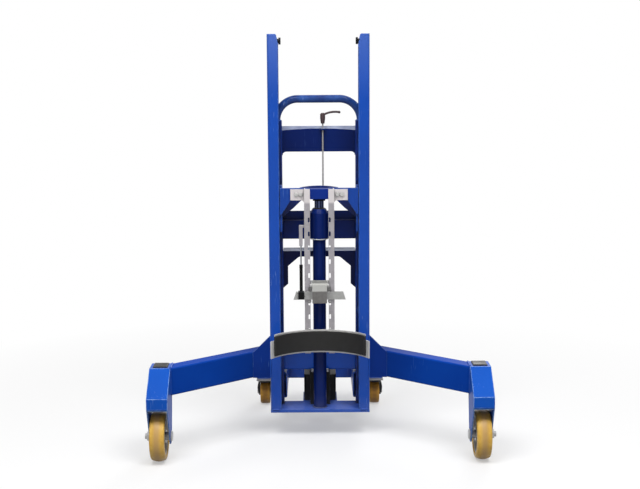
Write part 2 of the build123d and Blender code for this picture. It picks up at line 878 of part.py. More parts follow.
def front_axle():
    """The right front axle bolt with head, nut and a spacer on each side of the hub."""
    y = front_axle_y
    z = front_wheel_radius
    axle = bar_x(front_axle_radius, (hood_inner_x, hood_outer_x), y, z)
    axle += hexagon_x(front_axle_across, (hood_inner_x - front_axle_head, hood_inner_x), y, z)
    nut_end = hood_outer_x + front_axle_nut
    axle += hexagon_x(front_axle_across, (hood_outer_x, nut_end), y, z)
    axle += bar_x(front_axle_radius, (nut_end, nut_end + front_axle_end), y, z)
    hub_half = front_hub_length / 2 + running_clearance
    axle += bar_x(front_axle_across / 2, (hood_inner_x + hood_plate, front_wheel_x - hub_half), y, z)
    return axle + bar_x(front_axle_across / 2, (front_wheel_x + hub_half, hood_outer_x - hood_plate), y, z)


def caster_plate():
    """The right caster's top plate, with the ball race and the kingpin under it."""
    half_x = caster_plate_width / 2
    half_y = caster_plate_length / 2
    plate = block((-half_x, half_x), (-half_y, half_y), (caster_plate_bottom, rear_beam_bottom))
    race_bottom = caster_plate_bottom - caster_race_height
    plate += bar_z(caster_race_radius, 0, 0, (race_bottom, caster_plate_bottom))
    head_top = caster_crown_bottom - caster_race_gap
    head_bottom = head_top - caster_kingpin_head
    plate += bar_z(caster_kingpin_radius, 0, 0, (head_bottom, race_bottom))
    plate += bar_z(caster_kingpin_head_radius, 0, 0, (head_bottom, head_top))
    return Pos(caster_x, caster_swivel_y, 0) * plate


def caster_fork():
    """The right caster fork: a forged bell with two cheeks down to the axle and a flat seat for each bolt head."""
    half = caster_fork_width / 2
    shoulder_half = caster_shoulder_width / 2
    cheek_bottom = caster_wheel_radius - caster_cheek_radius
    bell_foot = caster_wheel_radius - caster_axle_radius
    bell_edge = ThreePointArc(
        (caster_race_radius, caster_crown_top),
        (shoulder_half, caster_wheel_radius + caster_shoulder_rise),
        (half, bell_foot),
    )
    below = Polyline((half, bell_foot), (half, cheek_bottom), (0, cheek_bottom), (0, caster_crown_top))
    above = Line((0, caster_crown_top), (caster_race_radius, caster_crown_top))
    bell = make_face(bell_edge + below + above)
    crown_z = (caster_crown_bottom, caster_crown_top)
    cheek = outline([
        (-caster_cheek_radius, caster_crown_top),
        (brake_pivot_y - brake_ear_radius, caster_crown_top),
        (brake_pivot_y, brake_pivot_z - brake_ear_radius),
        (caster_trail + caster_cheek_radius, caster_wheel_radius),
        (caster_trail - caster_cheek_radius, caster_wheel_radius),
    ])
    cheek += Pos(caster_trail, caster_wheel_radius) * Circle(caster_cheek_radius)
    cheek += Pos(brake_pivot_y, brake_pivot_z) * Circle(brake_ear_radius)
    cheek -= Pos(caster_trail, caster_wheel_radius) * Circle(caster_axle_radius + bolt_clearance)
    cheek -= Pos(brake_pivot_y, brake_pivot_z) * Circle(brake_pin_radius + running_clearance)
    right_cheek = side_plate(cheek, (half - caster_cheek, shoulder_half + caster_cheek))
    seat_x = (half, shoulder_half + caster_cheek)
    right_cheek -= bar_x(caster_axle_across / 2 + caster_seat_room, seat_x, caster_trail, caster_wheel_radius)
    crown = bar_z(caster_crown_radius, 0, 0, crown_z)
    crown += block((caster_cheek - half, half - caster_cheek), (0, caster_trail), crown_z)
    crown -= bar_z(caster_kingpin_radius + running_clearance, 0, 0, crown_z)
    fork = crown + right_cheek + other_side(right_cheek)
    fork_y = (-caster_crown_radius, brake_pivot_y + brake_ear_radius)
    right_bell = front_plate(bell, fork_y)
    fork &= right_bell + other_side(right_bell)
    return Pos(caster_x, caster_swivel_y, 0) * fork


def caster_tyre():
    """The right caster tyre."""
    tyre = wheel_tyre(
        caster_wheel_radius, caster_tyre_width, caster_tyre_crown, caster_tyre_shoulder, caster_core_radius
    )
    return Pos(caster_x, caster_swivel_y + caster_trail, caster_wheel_radius) * Rot(0, 90, 0) * tyre


def caster_core():
    """The right caster wheel body."""
    core = wheel_core(
        caster_core_radius,
        caster_tyre_width,
        caster_rim_thickness,
        caster_web_thickness,
        caster_hub_radius,
        caster_hub_length,
        caster_axle_radius + running_clearance,
    )
    return Pos(caster_x, caster_swivel_y + caster_trail, caster_wheel_radius) * Rot(0, 90, 0) * core


def caster_axle():
    """The right caster axle bolt with head, nut and a washer on each side of the hub."""
    half = caster_fork_width / 2
    z = caster_wheel_radius
    axle = bar_x(caster_axle_radius, (-half, half), 0, z)
    head = hexagon_x(caster_axle_across, (half, half + caster_axle_head), 0, z)
    washer_span = (caster_hub_length / 2 + running_clearance, half - caster_cheek)
    washer = bar_x(caster_axle_across / 2, washer_span, 0, z)
    axle += head + other_side(head) + washer + other_side(washer)
    return Pos(caster_x, caster_swivel_y + caster_trail, 0) * axle


def caster_brake():
    """The right caster's brake pedal, with its pin and the cam that turns against the tyre."""
    half = caster_fork_width / 2
    barrel_half = half - caster_cheek - bolt_clearance
    lever = bar_x(brake_barrel_radius, (-barrel_half, barrel_half), brake_pivot_y, brake_pivot_z)
    lever += bar_x(brake_pin_radius, (-half, half), brake_pivot_y, brake_pivot_z)
    wide = brake_pedal_width / 2
    pedal_z = (brake_pivot_z, brake_pivot_z + brake_pedal_thickness)
    lever += block((-wide, wide), (brake_pivot_y, brake_pivot_y + brake_pedal_length), pedal_z)
    cam = Pos(brake_pivot_y, brake_pivot_z - brake_cam_reach) * Circle(brake_cam_radius)
    cam_middle = brake_pivot_z - brake_cam_reach / 2
    cam += Pos(brake_pivot_y, cam_middle) * Rectangle(2 * brake_cam_radius, brake_cam_reach)
    lever += side_plate(cam, (-wide, wide))
    return Pos(caster_x, caster_swivel_y, 0) * lever


def lift_cylinder():
    """The cylinder barrel on the base plate, closed at the foot."""
    top = head_bottom + head_socket_depth
    barrel = bar_z(barrel_radius, 0, cylinder_y, (base_plate_top, top))
    return barrel - bar_z(barrel_bore_radius, 0, cylinder_y, (base_plate_top + barrel_end_thickness, top))


def cylinder_head():
    """The wide head on the barrel that guides the ram."""
    bore = ram_radius + running_clearance
    socket = barrel_radius + socket_clearance
    socket_top = head_bottom + head_socket_depth
    profile = outline([
        (socket, head_bottom),
        (head_radius, head_bottom),
        (head_radius, head_top - head_chamfer_height),
        (head_radius - head_chamfer_width, head_top),
        (bore, head_top),
        (bore, socket_top),
        (socket, socket_top),
    ])
    return Pos(0, cylinder_y, 0) * turned(profile)


def pump_unit():
    """The cast pump block with its oil tank, filler cap and pedal lugs."""
    z = (base_plate_top, pump_top)
    unit = block((-pump_half_width, pump_half_width), (pump_front, pump_front + pump_depth), z)
    neck_y = (pump_front + pump_depth, tank_front)
    neck_z = (base_plate_top, base_plate_top + pump_neck_height)
    unit += block((-pump_neck_half_width, pump_neck_half_width), neck_y, neck_z)
    tank = block((-tank_half_width, tank_half_width), (tank_front, tank_rear), (base_plate_top, tank_top))
    unit += fillet(tank.edges().filter_by(Axis.Z), tank_edge_radius)
    cap_y = tank_front + tank_cap_offset
    unit += bar_z(tank_cap_radius, -tank_cap_offset, cap_y, (tank_top, tank_top + tank_cap_height))
    ear = Pos(pedal_pivot_y, pedal_pivot_z) * Circle(pedal_lug_radius)
    foot = (pedal_pivot_z + tank_top) / 2
    ear += Pos(pedal_pivot_y, foot) * Rectangle(2 * pedal_lug_radius, pedal_pivot_rise)
    ear -= Pos(pedal_pivot_y, pedal_pivot_z) * Circle(pedal_pin_radius + bolt_clearance)
    lug_start = pedal_barrel_half_width + bolt_clearance
    lug = side_plate(ear, (lug_start, lug_start + pedal_lug_thickness))
    unit += lug + other_side(lug)
    socket = bar_z(rod_radius + running_clearance, rod_x, rod_y, (pump_top - rod_socket_depth, pump_top))
    return unit - socket


def pedal_pin():
    """The pivot pin of the foot pedal, with a head at each end."""
    half = pedal_barrel_half_width + bolt_clearance + pedal_lug_thickness
    pin = bar_x(pedal_pin_radius, (-half, half), pedal_pivot_y, pedal_pivot_z)
    head = bar_x(pedal_pin_head_radius, (half, half + pedal_pin_head), pedal_pivot_y, pedal_pivot_z)
    return pin + head + other_side(head)


def pump_pedal():
    """The foot pedal: pivot barrel, rising arm and a ribbed foot plate."""
    half = pedal_barrel_half_width
    pedal = bar_x(pedal_barrel_radius, (-half, half), pedal_pivot_y, pedal_pivot_z)
    foot_z = pedal_pivot_z + pedal_foot_rise
    arm_half = pedal_arm_thickness / 2
    arm = outline([
        (pedal_pivot_y, pedal_pivot_z - arm_half),
        (pedal_foot_y, foot_z - arm_half),
        (pedal_foot_y, foot_z + arm_half),
        (pedal_pivot_y, pedal_pivot_z + arm_half),
    ])
    pedal += side_plate(arm, (-pedal_arm_width / 2, pedal_arm_width / 2))
    foot_y = (pedal_foot_y - pedal_foot_depth / 2, pedal_foot_y + pedal_foot_depth / 2)
    foot_top = foot_z + arm_half
    foot_half = pedal_foot_width / 2
    pedal += block((-foot_half, foot_half), foot_y, (foot_top - pedal_foot_thickness, foot_top))
    rib_pitch = pedal_foot_depth / pedal_rib_count
    for index in range(pedal_rib_count):
        rib_y = foot_y[0] + rib_pitch * (index + 0.5)
        rib_span = (rib_y - pedal_rib_width / 2, rib_y + pedal_rib_width / 2)
        pedal += block((-foot_half, foot_half), rib_span, (foot_top, foot_top + pedal_rib_height))
    return pedal - bar_x(pedal_pin_radius + running_clearance, (-half, half), pedal_pivot_y, pedal_pivot_z)


def lowering_rod():
    """The long rod from the clamping lever down to the valve in the pump block."""
    return bar_z(rod_radius, rod_x, rod_y, (pump_top - rod_socket_depth, rod_top))


def lowering_handle():
    """The clamping lever: a waisted boss with a curved arm and a rounded tip."""
    middle = (handle_boss_bottom + handle_boss_top) / 2
    boss = turned(outline([
        (0, handle_boss_bottom),
        (handle_boss_foot_radius, handle_boss_bottom),
        (handle_boss_radius, middle),
        (handle_boss_radius, handle_boss_top - handle_arm_radius),
        (handle_boss_radius - handle_arm_radius, handle_boss_top),
        (0, handle_boss_top),
    ]))
    arm_start = handle_boss_top - 2 * handle_arm_radius
    path = ThreePointArc(
        (0, 0, arm_start),
        (handle_arm_length / 2, 0, arm_start + handle_arm_rise),
        (handle_arm_length, 0, arm_start + handle_arm_rise),
    )
    arm = sweep(Plane(origin=path @ 0, z_dir=path % 0) * Circle(handle_arm_radius), path)
    tip = Pos(path @ 1) * Sphere(handle_tip_radius)
    socket = bar_z(rod_radius + socket_clearance, 0, 0, (handle_boss_bottom, rod_top))
    return Pos(rod_x, rod_y, 0) * (boss + arm + tip - socket)


def carriage_plates():
    """The welded plates of the carriage: two at the front, one behind, and one on each side."""
    y = (carriage_front, carriage_front + carriage_plate)
    front = front_plate(outline([
        (crosshead_half_width, carriage_top),
        (carriage_half_width, carriage_top),
        (carriage_half_width, carriage_leg_bottom),
        (carriage_half_width - carriage_leg_tip, carriage_leg_bottom),
        (carriage_half_width - carriage_leg_root, carriage_middle_bottom),
        (crosshead_half_width, carriage_middle_bottom),
    ]), y)
    for bolt_x in head_bolt_places:
        front -= bar_y(head_bolt_radius + bolt_clearance, bolt_x, y, head_bolt_height)
    side_y = (y[1], carriage_rear)
    side = block((side_inner, carriage_half_width), side_y, (carriage_side_bottom, carriage_side_top))
    for height in roller_heights:
        side -= bar_x(roller_pin_radius, (side_inner, carriage_half_width), roller_y, height)
    arch = rear_plate_arch_half_width
    right = [
        (arch, rear_plate_arch_end),
        (arch, rear_plate_top),
        (side_inner, rear_plate_top),
        (side_inner, rear_plate_bottom),
        (rear_plate_knee_half_width, rear_plate_knee),
        (rear_plate_notch_half_width, crosshead_bottom),
    ]
    left = [(-x, z) for x, z in reversed(right)]
    edges = [ThreePointArc(left[-1], (0, rear_plate_arch_top), right[0]), Polyline(*right, *left)]
    rear_y = (carriage_rear - rear_plate_thickness, carriage_rear)
    rear = front_plate(make_face(edges), rear_y)
    return front, other_side(front), side, other_side(side), rear


def crosshead():
    """The block on top of the ram, between the front plates and the rear plate."""
    y = (crosshead_front, carriage_rear - rear_plate_thickness)
    return block((-crosshead_half_width, crosshead_half_width), y, (crosshead_bottom, crosshead_top))


def guide_roller(height):
    """A right guide roller with bevelled edges, running in the mouth of the upright."""
    profile = outline([
        (roller_pin_radius + running_clearance, 0),
        (roller_radius - roller_edge, 0),
        (roller_radius, roller_edge),
        (roller_radius, roller_width - roller_edge),
        (roller_radius - roller_edge, roller_width),
        (roller_pin_radius + running_clearance, roller_width),
    ])
    return Pos(roller_start, roller_y, height) * Rot(0, 90, 0) * turned(profile)


def roller_pin(height):
    """A right roller pin with a collar against the side plate and a washer outside the roller."""
    washer_start = roller_end + running_clearance
    washer_end = washer_start + roller_washer_thickness
    pin = bar_x(roller_pin_radius, (side_inner, washer_end), roller_y, height)
    collar_end = roller_start - running_clearance
    pin += bar_x(roller_collar_radius, (carriage_half_width, collar_end), roller_y, height)
    return pin + bar_x(roller_collar_radius, (washer_start, washer_end), roller_y, height)


def slot_heights():
    """The heights of the slots up the rails."""
    return [slot_lowest + slot_pitch * index for index in range(slot_count)]


def head_rail():
    """The right slotted rail with the bracket that hangs it on the carriage."""
    z = (rail_bottom, carriage_top)
    rail = block((rail_inner_half_gap, rail_outer), (rail_front, rail_back_of_face), z)
    rail += block((rail_outer - rail_thickness, rail_outer), (rail_back_of_face, bracket_front), z)
    slot_height = slot_length - slot_width
    for height in slot_heights():
        slot = Pos(slot_middle, height) * SlotCenterToCenter(slot_height, slot_width, rotation=90)
        rail -= front_plate(slot, (rail_front, rail_back_of_face))
    bracket_end = rail_outer + bracket_width
    fillet_bottom = bracket_bottom - bracket_fillet
    fillet_middle = bracket_fillet * (1 - cos(radians(45)))
    bend = ThreePointArc(
        (rail_outer + bracket_fillet, bracket_bottom),
        (rail_outer + fillet_middle, bracket_bottom - fillet_middle),
        (rail_outer, fillet_bottom),
    )
    rest = Polyline(
        (rail_outer, fillet_bottom),
        (crosshead_half_width, fillet_bottom),
        (crosshead_half_width, bracket_top),
        (bracket_end, bracket_top),
        (bracket_end, bracket_bottom),
        (rail_outer + bracket_fillet, bracket_bottom),
    )
    bracket = front_plate(make_face([bend, rest]), (bracket_front, carriage_front))
    span = (bracket_front, carriage_front)
    for bolt_x in head_bolt_places:
        bracket -= bar_y(head_bolt_radius + bolt_clearance, bolt_x, span, head_bolt_height)
    return rail + bracket


def spring_hanger():
    """The hanger on the left rail that holds the top of the gas spring rod."""
    x = (spring_x - hanger_width / 2, spring_x + hanger_width / 2)
    y = (spring_y - hanger_depth / 2, spring_y + hanger_depth / 2)
    hanger = block((x[0], -rail_outer), y, (hanger_top - hanger_tab, hanger_top))
    return hanger + block(x, y, (hanger_bottom, hanger_top))


def head_bolts():
    """The bolts that hold the rails on the carriage, and the saddle on the rails."""
    bolts = []
    plate_rear = carriage_front + carriage_plate
    for x in head_bolt_places:
        bolt = hexagon_y(head_bolt_across, x, (bracket_front - head_bolt_head, bracket_front), head_bolt_height)
        bolt += bar_y(head_bolt_radius, x, (bracket_front, plate_rear), head_bolt_height)
        bolt += hexagon_y(head_bolt_across, x, (plate_rear, plate_rear + head_bolt_head), head_bolt_height)
        bolts += [bolt, other_side(bolt)]
    for height in slot_heights()[:saddle_bolt_rows]:
        head_span = (rail_back_of_face, rail_back_of_face + saddle_bolt_head)
        bolt = hexagon_y(saddle_bolt_across, slot_middle, head_span, height)
        shank = (rail_front - saddle_bolt_grip, rail_back_of_face)
        bolt += bar_y(saddle_bolt_radius, slot_middle, shank, height)
        bolts += [bolt, other_side(bolt)]
    return bolts


def ring_sector(inner, outer, half_angle):
    """A flat sector of a ring, opening towards the load and centred on the machine's middle."""
    reach = 2 * outer
    spread = reach * tan(radians(half_angle / 2))
    wedge = outline([(0, 0), (reach, reach / tan(radians(half_angle))), (spread, reach), (-spread, reach),
                     (-reach, reach / tan(radians(half_angle)))])
    return (Circle(outer) - Circle(inner)) & wedge


def saddle():
    """The curved saddle plate with cut corners and a flat seat against both rails."""
    full = ring_sector(saddle_inner_radius, saddle_outer_radius, saddle_half_angle - saddle_corner_angle)
    wide = ring_sector(saddle_inner_radius, saddle_outer_radius, saddle_half_angle)
    plate = flat_plate(full, (saddle_bottom, saddle_top))
    plate += flat_plate(wide, (saddle_bottom, saddle_top - saddle_corner_drop))
    seat_depth = saddle_outer_radius - (saddle_outer_radius ** 2 - rail_outer ** 2) ** 0.5 + saddle_thickness
    seat = block(
        (-rail_outer, rail_outer),
        (saddle_outer_radius - seat_depth, saddle_outer_radius),
        (saddle_bottom, saddle_top),
    )
    plate += seat - bar_z(saddle_inner_radius, 0, 0, (saddle_bottom, saddle_top))
    plate = Pos(0, saddle_y, 0) * plate
    for height in slot_heights()[:saddle_bolt_rows]:
        for x in (-slot_middle, slot_middle):
            span = (rail_front - saddle_bolt_grip, rail_front)
            plate -= bar_y(saddle_bolt_radius + socket_clearance, x, span, height)
    return plate


def saddle_pad():
    """The rubber lining of the saddle."""
    lining = ring_sector(saddle_inner_radius - saddle_pad_thickness, saddle_inner_radius, saddle_pad_half_angle)
    z = (saddle_bottom + saddle_pad_margin, saddle_top - saddle_pad_margin)
    return Pos(0, saddle_y, 0) * flat_plate(lining, z)


def slider_stop():
    """The right round-headed stop at the top of a rail slot, under the rear plate of the beak slider."""
    head_span = (rail_back_of_face, rail_back_of_face + slider_stop_head)
    head = bar_y(slider_stop_radius, slot_middle, head_span, slider_stop_height)
    shank_radius = slot_width / 2 - socket_clearance
    return head + bar_y(shank_radius, slot_middle, (rail_front, rail_back_of_face), slider_stop_height)


def beak_slider():
    """The slider that grips both rail faces, with the backrest bar and the jaw ears in front."""
    rear_y = (slider_rear_front, slider_rear_front + slider_rear_thickness)
    rear_z = (backrest_bottom, slider_neck_top)
    slider = block((-slider_rear_half_width, slider_rear_half_width), rear_y, rear_z)
    core_half = rail_inner_half_gap - slider_side_clearance
    slider += block((-core_half, core_half), (backrest_rear, slider_rear_front), (backrest_bottom, slider_neck_top))
    slant = backrest_half_width - backrest_end_slant
    bar = outline([
        (-backrest_half_width, backrest_bottom),
        (backrest_half_width, backrest_bottom),
        (slant, backrest_top),
        (jaw_ear_outer, backrest_top),
        (jaw_ear_outer, slider_neck_top),
        (-jaw_ear_outer, slider_neck_top),
        (-jaw_ear_outer, backrest_top),
        (-slant, backrest_top),
    ])
    backrest = front_plate(bar, (backrest_front, backrest_rear))
    notch_half = spring_foot_width / 2 + bolt_clearance
    notch_x = (spring_x - notch_half, spring_x + notch_half)
    backrest -= block(notch_x, (backrest_front, backrest_rear), (spring_notch_bottom, backrest_top))
    slider += backrest
    ear = Pos(jaw_pivot_y, jaw_pivot_z) * Circle(jaw_knuckle_radius)
    ear += outline([
        (jaw_pivot_y, jaw_pivot_z + jaw_knuckle_radius),
        (backrest_front, slider_neck_top),
        (backrest_front, jaw_ear_bottom),
        (jaw_pivot_y, jaw_pivot_z - jaw_knuckle_radius),
    ])
    ear -= Pos(jaw_pivot_y, jaw_pivot_z) * Circle(jaw_pin_radius + socket_clearance)
    right_ear = side_plate(ear, (jaw_ear_inner, jaw_ear_outer))
    return slider + right_ear + other_side(right_ear)


def beak_jaw():
    """The beak: a sloped hood from the knuckle to a lip that hooks over a rim, with a heel as its stop."""
    top = jaw_pivot_z + jaw_knuckle_radius
    knuckle_bottom = jaw_pivot_z - jaw_knuckle_radius
    profile = outline([
        (jaw_pivot_y, top),
        (jaw_front, jaw_front_top),
        (jaw_front, jaw_tip),
        (jaw_front + jaw_lip, jaw_tip),
        (jaw_front + jaw_lip, jaw_front_top - jaw_roof),
        (jaw_pivot_y, knuckle_bottom),
    ])
    profile += Pos(jaw_pivot_y, jaw_pivot_z) * Circle(jaw_knuckle_radius)
    heel_rear = backrest_front - slider_face_clearance
    profile += outline([
        (jaw_pivot_y, knuckle_bottom),
        (heel_rear, knuckle_bottom),
        (heel_rear, knuckle_bottom + jaw_heel_height),
        (jaw_pivot_y, knuckle_bottom + jaw_heel_height),
    ])
    profile -= Pos(jaw_pivot_y, jaw_pivot_z) * Circle(jaw_pin_radius + running_clearance)
    return side_plate(profile, (-jaw_half_width, jaw_half_width))


def jaw_pin():
    """The pin of the beak jaw, with a head at each end."""
    pin = bar_x(jaw_pin_radius, (-jaw_ear_outer, jaw_ear_outer), jaw_pivot_y, jaw_pivot_z)
    head_span = (jaw_ear_outer, jaw_ear_outer + jaw_pin_head)
    head = bar_x(jaw_pin_head_radius, head_span, jaw_pivot_y, jaw_pivot_z)
    return pin + head + other_side(head)


def gas_spring_body():
    """The black pressure tube of the gas spring, on a foot that clips over the backrest."""
    body = bar_z(spring_body_radius, spring_x, spring_y, (spring_body_bottom, spring_body_top))
    half = spring_foot_width / 2
    x = (spring_x - half, spring_x + half)
    foot_front = backrest_front - spring_foot_front
    foot_z = (spring_notch_bottom, spring_body_bottom)
    foot = block(x, (foot_front, spring_y + spring_body_radius), foot_z)
    foot += block(x, (foot_front, backrest_front), (spring_foot_bottom, spring_notch_bottom))
    bore_z = (spring_body_bottom + spring_body_floor, spring_body_top)
    return body + foot - bar_z(spring_rod_radius + running_clearance, spring_x, spring_y, bore_z)


def gas_spring_rod():
    """The rod of the gas spring, under the hanger."""
    z = (spring_body_top - spring_rod_overlap, hanger_bottom)
    return bar_z(spring_rod_radius, spring_x, spring_y, z)


os.makedirs("parts", exist_ok=True)

save("right_upright", upright())
save("left_upright", other_side(upright()))
save("rear_posts", rear_post(), other_side(rear_post()))
save("handlebar", handlebar())
save("upper_crossmember", upper_crossmember())
save("middle_crossmember", middle_crossmember())
save("lower_crossmember", lower_crossmember())
save("mast_stop_bolts", stop_bolt(), other_side(stop_bolt()))

save("base_plate", base_plate())
save("base_crossbeam", base_crossbeam())
save("right_leg", leg())
save("left_leg", other_side(leg()))
save("leg_gussets", leg_gusset(), other_side(leg_gusset()))
save("rear_beams", rear_beam(), other_side(rear_beam()))
save("rear_crossbeam", rear_crossbeam())
save("right_wheel_hood", wheel_hood())
save("left_wheel_hood", other_side(wheel_hood()))
save("wheel_hood_caps", hood_cap(), other_side(hood_cap()))

save("right_front_tyre", front_tyre())
save("left_front_tyre", other_side(front_tyre()))
save("right_front_core", front_core())
save("left_front_core", other_side(front_core()))
save("front_axles", front_axle(), other_side(front_axle()))

save("caster_plates", caster_plate(), other_side(caster_plate()))
save("right_caster_fork", caster_fork())
save("left_caster_fork", other_side(caster_fork()))
save("right_caster_tyre", caster_tyre())
save("left_caster_tyre", other_side(caster_tyre()))
save("right_caster_core", caster_core())
save("left_caster_core", other_side(caster_core()))
save("right_caster_axle", caster_axle())
save("left_caster_axle", other_side(caster_axle()))
save("right_caster_brake", caster_brake())
save("left_caster_brake", other_side(caster_brake()))

save("lift_cylinder", lift_cylinder())
save("cylinder_head", cylinder_head())
save("lift_ram", bar_z(ram_radius, 0, cylinder_y, (ram_bottom, crosshead_bottom)))
save("pump_unit", pump_unit())
save("pedal_pin", pedal_pin())
save("pump_pedal", pump_pedal())
save("lowering_rod", lowering_rod())
save("lowering_handle", lowering_handle())

save("carriage_plates", *carriage_plates())
save("crosshead", crosshead())
lower_height, upper_height = roller_heights
save("upper_right_roller", guide_roller(upper_height))
save("upper_left_roller", other_side(guide_roller(upper_height)))
save("lower_right_roller", guide_roller(lower_height))
save("lower_left_roller", other_side(guide_roller(lower_height)))
pins = [roller_pin(height) for height in roller_heights]
save("roller_pins", *pins, *[other_side(pin) for pin in pins])

save("right_rail", head_rail())
save("left_rail", other_side(head_rail()) + spring_hanger())
save("head_bolts", *head_bolts())
save("slider_stops", slider_stop(), other_side(slider_stop()))
save("saddle", saddle())
save("saddle_pad", saddle_pad())
save("beak_slider", beak_slider())
save("beak_jaw", beak_jaw())
save("jaw_pin", jaw_pin())
save("gas_spring_body", gas_spring_body())
save("gas_spring_rod", gas_spring_rod())
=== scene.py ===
# %% [markdown]
# # A drum depalletizer
# This is a hand-pushed lifter: a blue channel mast on splayed straddle legs, a hydraulic ram, and a
# gripping head with slotted zinc rails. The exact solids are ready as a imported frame. Blender adds what a
# solid model lacks: paint, plating, welds, threads, seals and light. Everything is in metres, in the
# frame's own places.

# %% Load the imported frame
import json
import math
import random

import bmesh
import bpy
from mathutils import Euler, Matrix, Vector


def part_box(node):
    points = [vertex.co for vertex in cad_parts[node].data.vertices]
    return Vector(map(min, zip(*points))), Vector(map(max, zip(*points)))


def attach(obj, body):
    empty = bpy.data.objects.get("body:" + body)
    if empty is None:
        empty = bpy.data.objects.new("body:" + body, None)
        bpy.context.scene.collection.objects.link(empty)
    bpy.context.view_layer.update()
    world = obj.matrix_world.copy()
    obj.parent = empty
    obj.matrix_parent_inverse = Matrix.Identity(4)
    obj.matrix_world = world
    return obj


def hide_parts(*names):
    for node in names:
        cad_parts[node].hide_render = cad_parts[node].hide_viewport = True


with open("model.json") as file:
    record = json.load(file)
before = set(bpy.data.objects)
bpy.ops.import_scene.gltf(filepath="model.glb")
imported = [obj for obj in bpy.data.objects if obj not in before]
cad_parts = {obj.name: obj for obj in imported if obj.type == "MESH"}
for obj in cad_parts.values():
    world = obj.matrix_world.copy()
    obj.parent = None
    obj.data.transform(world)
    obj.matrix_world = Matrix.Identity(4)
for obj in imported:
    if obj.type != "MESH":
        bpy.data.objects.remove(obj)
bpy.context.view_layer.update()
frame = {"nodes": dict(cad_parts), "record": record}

# %% [markdown]
# ## The camera
# The picture was taken from about four and a half metres in front of the mast, a little above the
# handlebar, with the lens tilted down. The focal length is given for a 36 mm sensor. The small yaw and
# roll, in degrees, are those of a camera held by hand. Depth of field stays off, so every part is sharp
# from any side.

# %% Place the camera
CAMERA_PLACE = (-0.0145, -4.5154, 1.3968)
DOWN_TILT = 8.4
YAW = -0.22
ROLL = -0.33

lens_data = bpy.data.cameras.new("front_camera")
lens_data.sensor_width = 36.0
lens_data.lens = 67.5
lens_data.clip_end = 200.0
front_camera = bpy.data.objects.new("front_camera", lens_data)
bpy.context.scene.collection.objects.link(front_camera)
aim = Euler((math.radians(90 - DOWN_TILT), 0, math.radians(YAW))).to_matrix()
aim = aim @ Matrix.Rotation(math.radians(ROLL), 3, "Z")
front_camera.matrix_world = Matrix.Translation(CAMERA_PLACE) @ aim.to_4x4()
bpy.context.scene.camera = front_camera
print("camera at", CAMERA_PLACE, "tilted down by", DOWN_TILT, "degrees")

# %% [markdown]
# ## Helpers for shader nodes
# Every finish is a small tree of nodes. One helper adds a node and fills its sockets, either with a plain
# value or with a link, so that a finish reads from top to bottom like a recipe. Short helpers for the nodes
# that come again and again follow it. Colours are written as they look on a screen and turned into the
# linear values that the renderer uses.

# %% Node helpers
def colour(code):
    """A screen colour such as 2350B0 as linear red, green, blue and alpha."""
    parts = [int(code[i:i + 2], 16) / 255 for i in (0, 2, 4)]
    linear = [p / 12.92 if p <= 0.04045 else ((p + 0.055) / 1.055) ** 2.4 for p in parts]
    return (*linear, 1.0)


def put(tree, kind, sockets=None, **options):
    """Adds one shader node, sets its options, and fills its sockets with values or links."""
    node = tree.nodes.new("ShaderNode" + kind)
    for name, value in options.items():
        setattr(node, name, value)
    for name, value in (sockets or {}).items():
        if isinstance(value, bpy.types.NodeSocket):
            tree.links.new(value, node.inputs[name])
        else:
            node.inputs[name].default_value = value
    return node


def math_node(tree, operation, first, second=0.0, clamp=False):
    """One sum on two values; the result is a socket."""
    node = put(tree, "Math", {0: first, 1: second}, operation=operation, use_clamp=clamp)
    return node.outputs[0]


def times(tree, first, second, clamp=False):
    """The product of two values."""
    return math_node(tree, "MULTIPLY", first, second, clamp)


def blend(tree, factor, first, second):
    """Goes from the first colour to the second as the factor rises. A colour is a code or a link."""
    first, second = (colour(given) if isinstance(given, str) else given for given in (first, second))
    node = put(tree, "Mix", {0: factor, 6: first, 7: second}, data_type="RGBA")
    return node.outputs[2]


def spread(tree, value, low, high, to_low=0.0, to_high=1.0):
    """Maps a range of values to another, and stops at its ends."""
    sockets = {"Value": value, "From Min": low, "From Max": high, "To Min": to_low, "To Max": to_high}
    return put(tree, "MapRange", sockets).outputs["Result"]


def own_place(tree):
    """The place on a piece, which stays with it when it moves."""
    return put(tree, "TexCoord").outputs["Object"]


def on_axis(tree, vector, axis):
    """One part of a vector: X, Y or Z."""
    return put(tree, "SeparateXYZ", {0: vector}).outputs[axis]


def noise(tree, place, scale, detail=2.0):
    """Cloudy values round one half. More detail adds finer clouds."""
    sockets = {"Vector": place, "Scale": scale, "Detail": detail}
    return put(tree, "TexNoise", sockets).outputs["Fac"]


print("node helpers ready")

# %% [markdown]
# ## Helpers for node groups
# An effect that several finishes share is built once as a node group. A group has named inputs with values
# to start from, and its results become its outputs. Each material then places it with values of its own.

# %% Group helpers
FLOAT = "NodeSocketFloat"
VECTOR = "NodeSocketVector"


def new_group(name, **inputs):
    """An empty shader node group: gives its tree and its inputs."""
    tree = bpy.data.node_groups.new(name, "ShaderNodeTree")
    for socket, value in inputs.items():
        made = tree.interface.new_socket(socket.replace("_", " "), in_out="INPUT", socket_type=FLOAT)
        made.default_value = value
    return tree, tree.nodes.new("NodeGroupInput").outputs


def close_group(tree, **results):
    """Makes an output for each result, links it, and hands the group back."""
    for name, value in results.items():
        kind = VECTOR if value.type == "VECTOR" else FLOAT
        tree.interface.new_socket(name, in_out="OUTPUT", socket_type=kind)
    end = tree.nodes.new("NodeGroupOutput")
    for name, value in results.items():
        tree.links.new(value, end.inputs[name])
    print("group", tree.name)
    return tree


def use_group(tree, group, **values):
    """Places a group in a material with its own values."""
    node = put(tree, "Group", node_tree=group)
    for name, value in values.items():
        node.inputs[name.replace("_", " ")].default_value = value
    return node.outputs


print("group helpers ready")

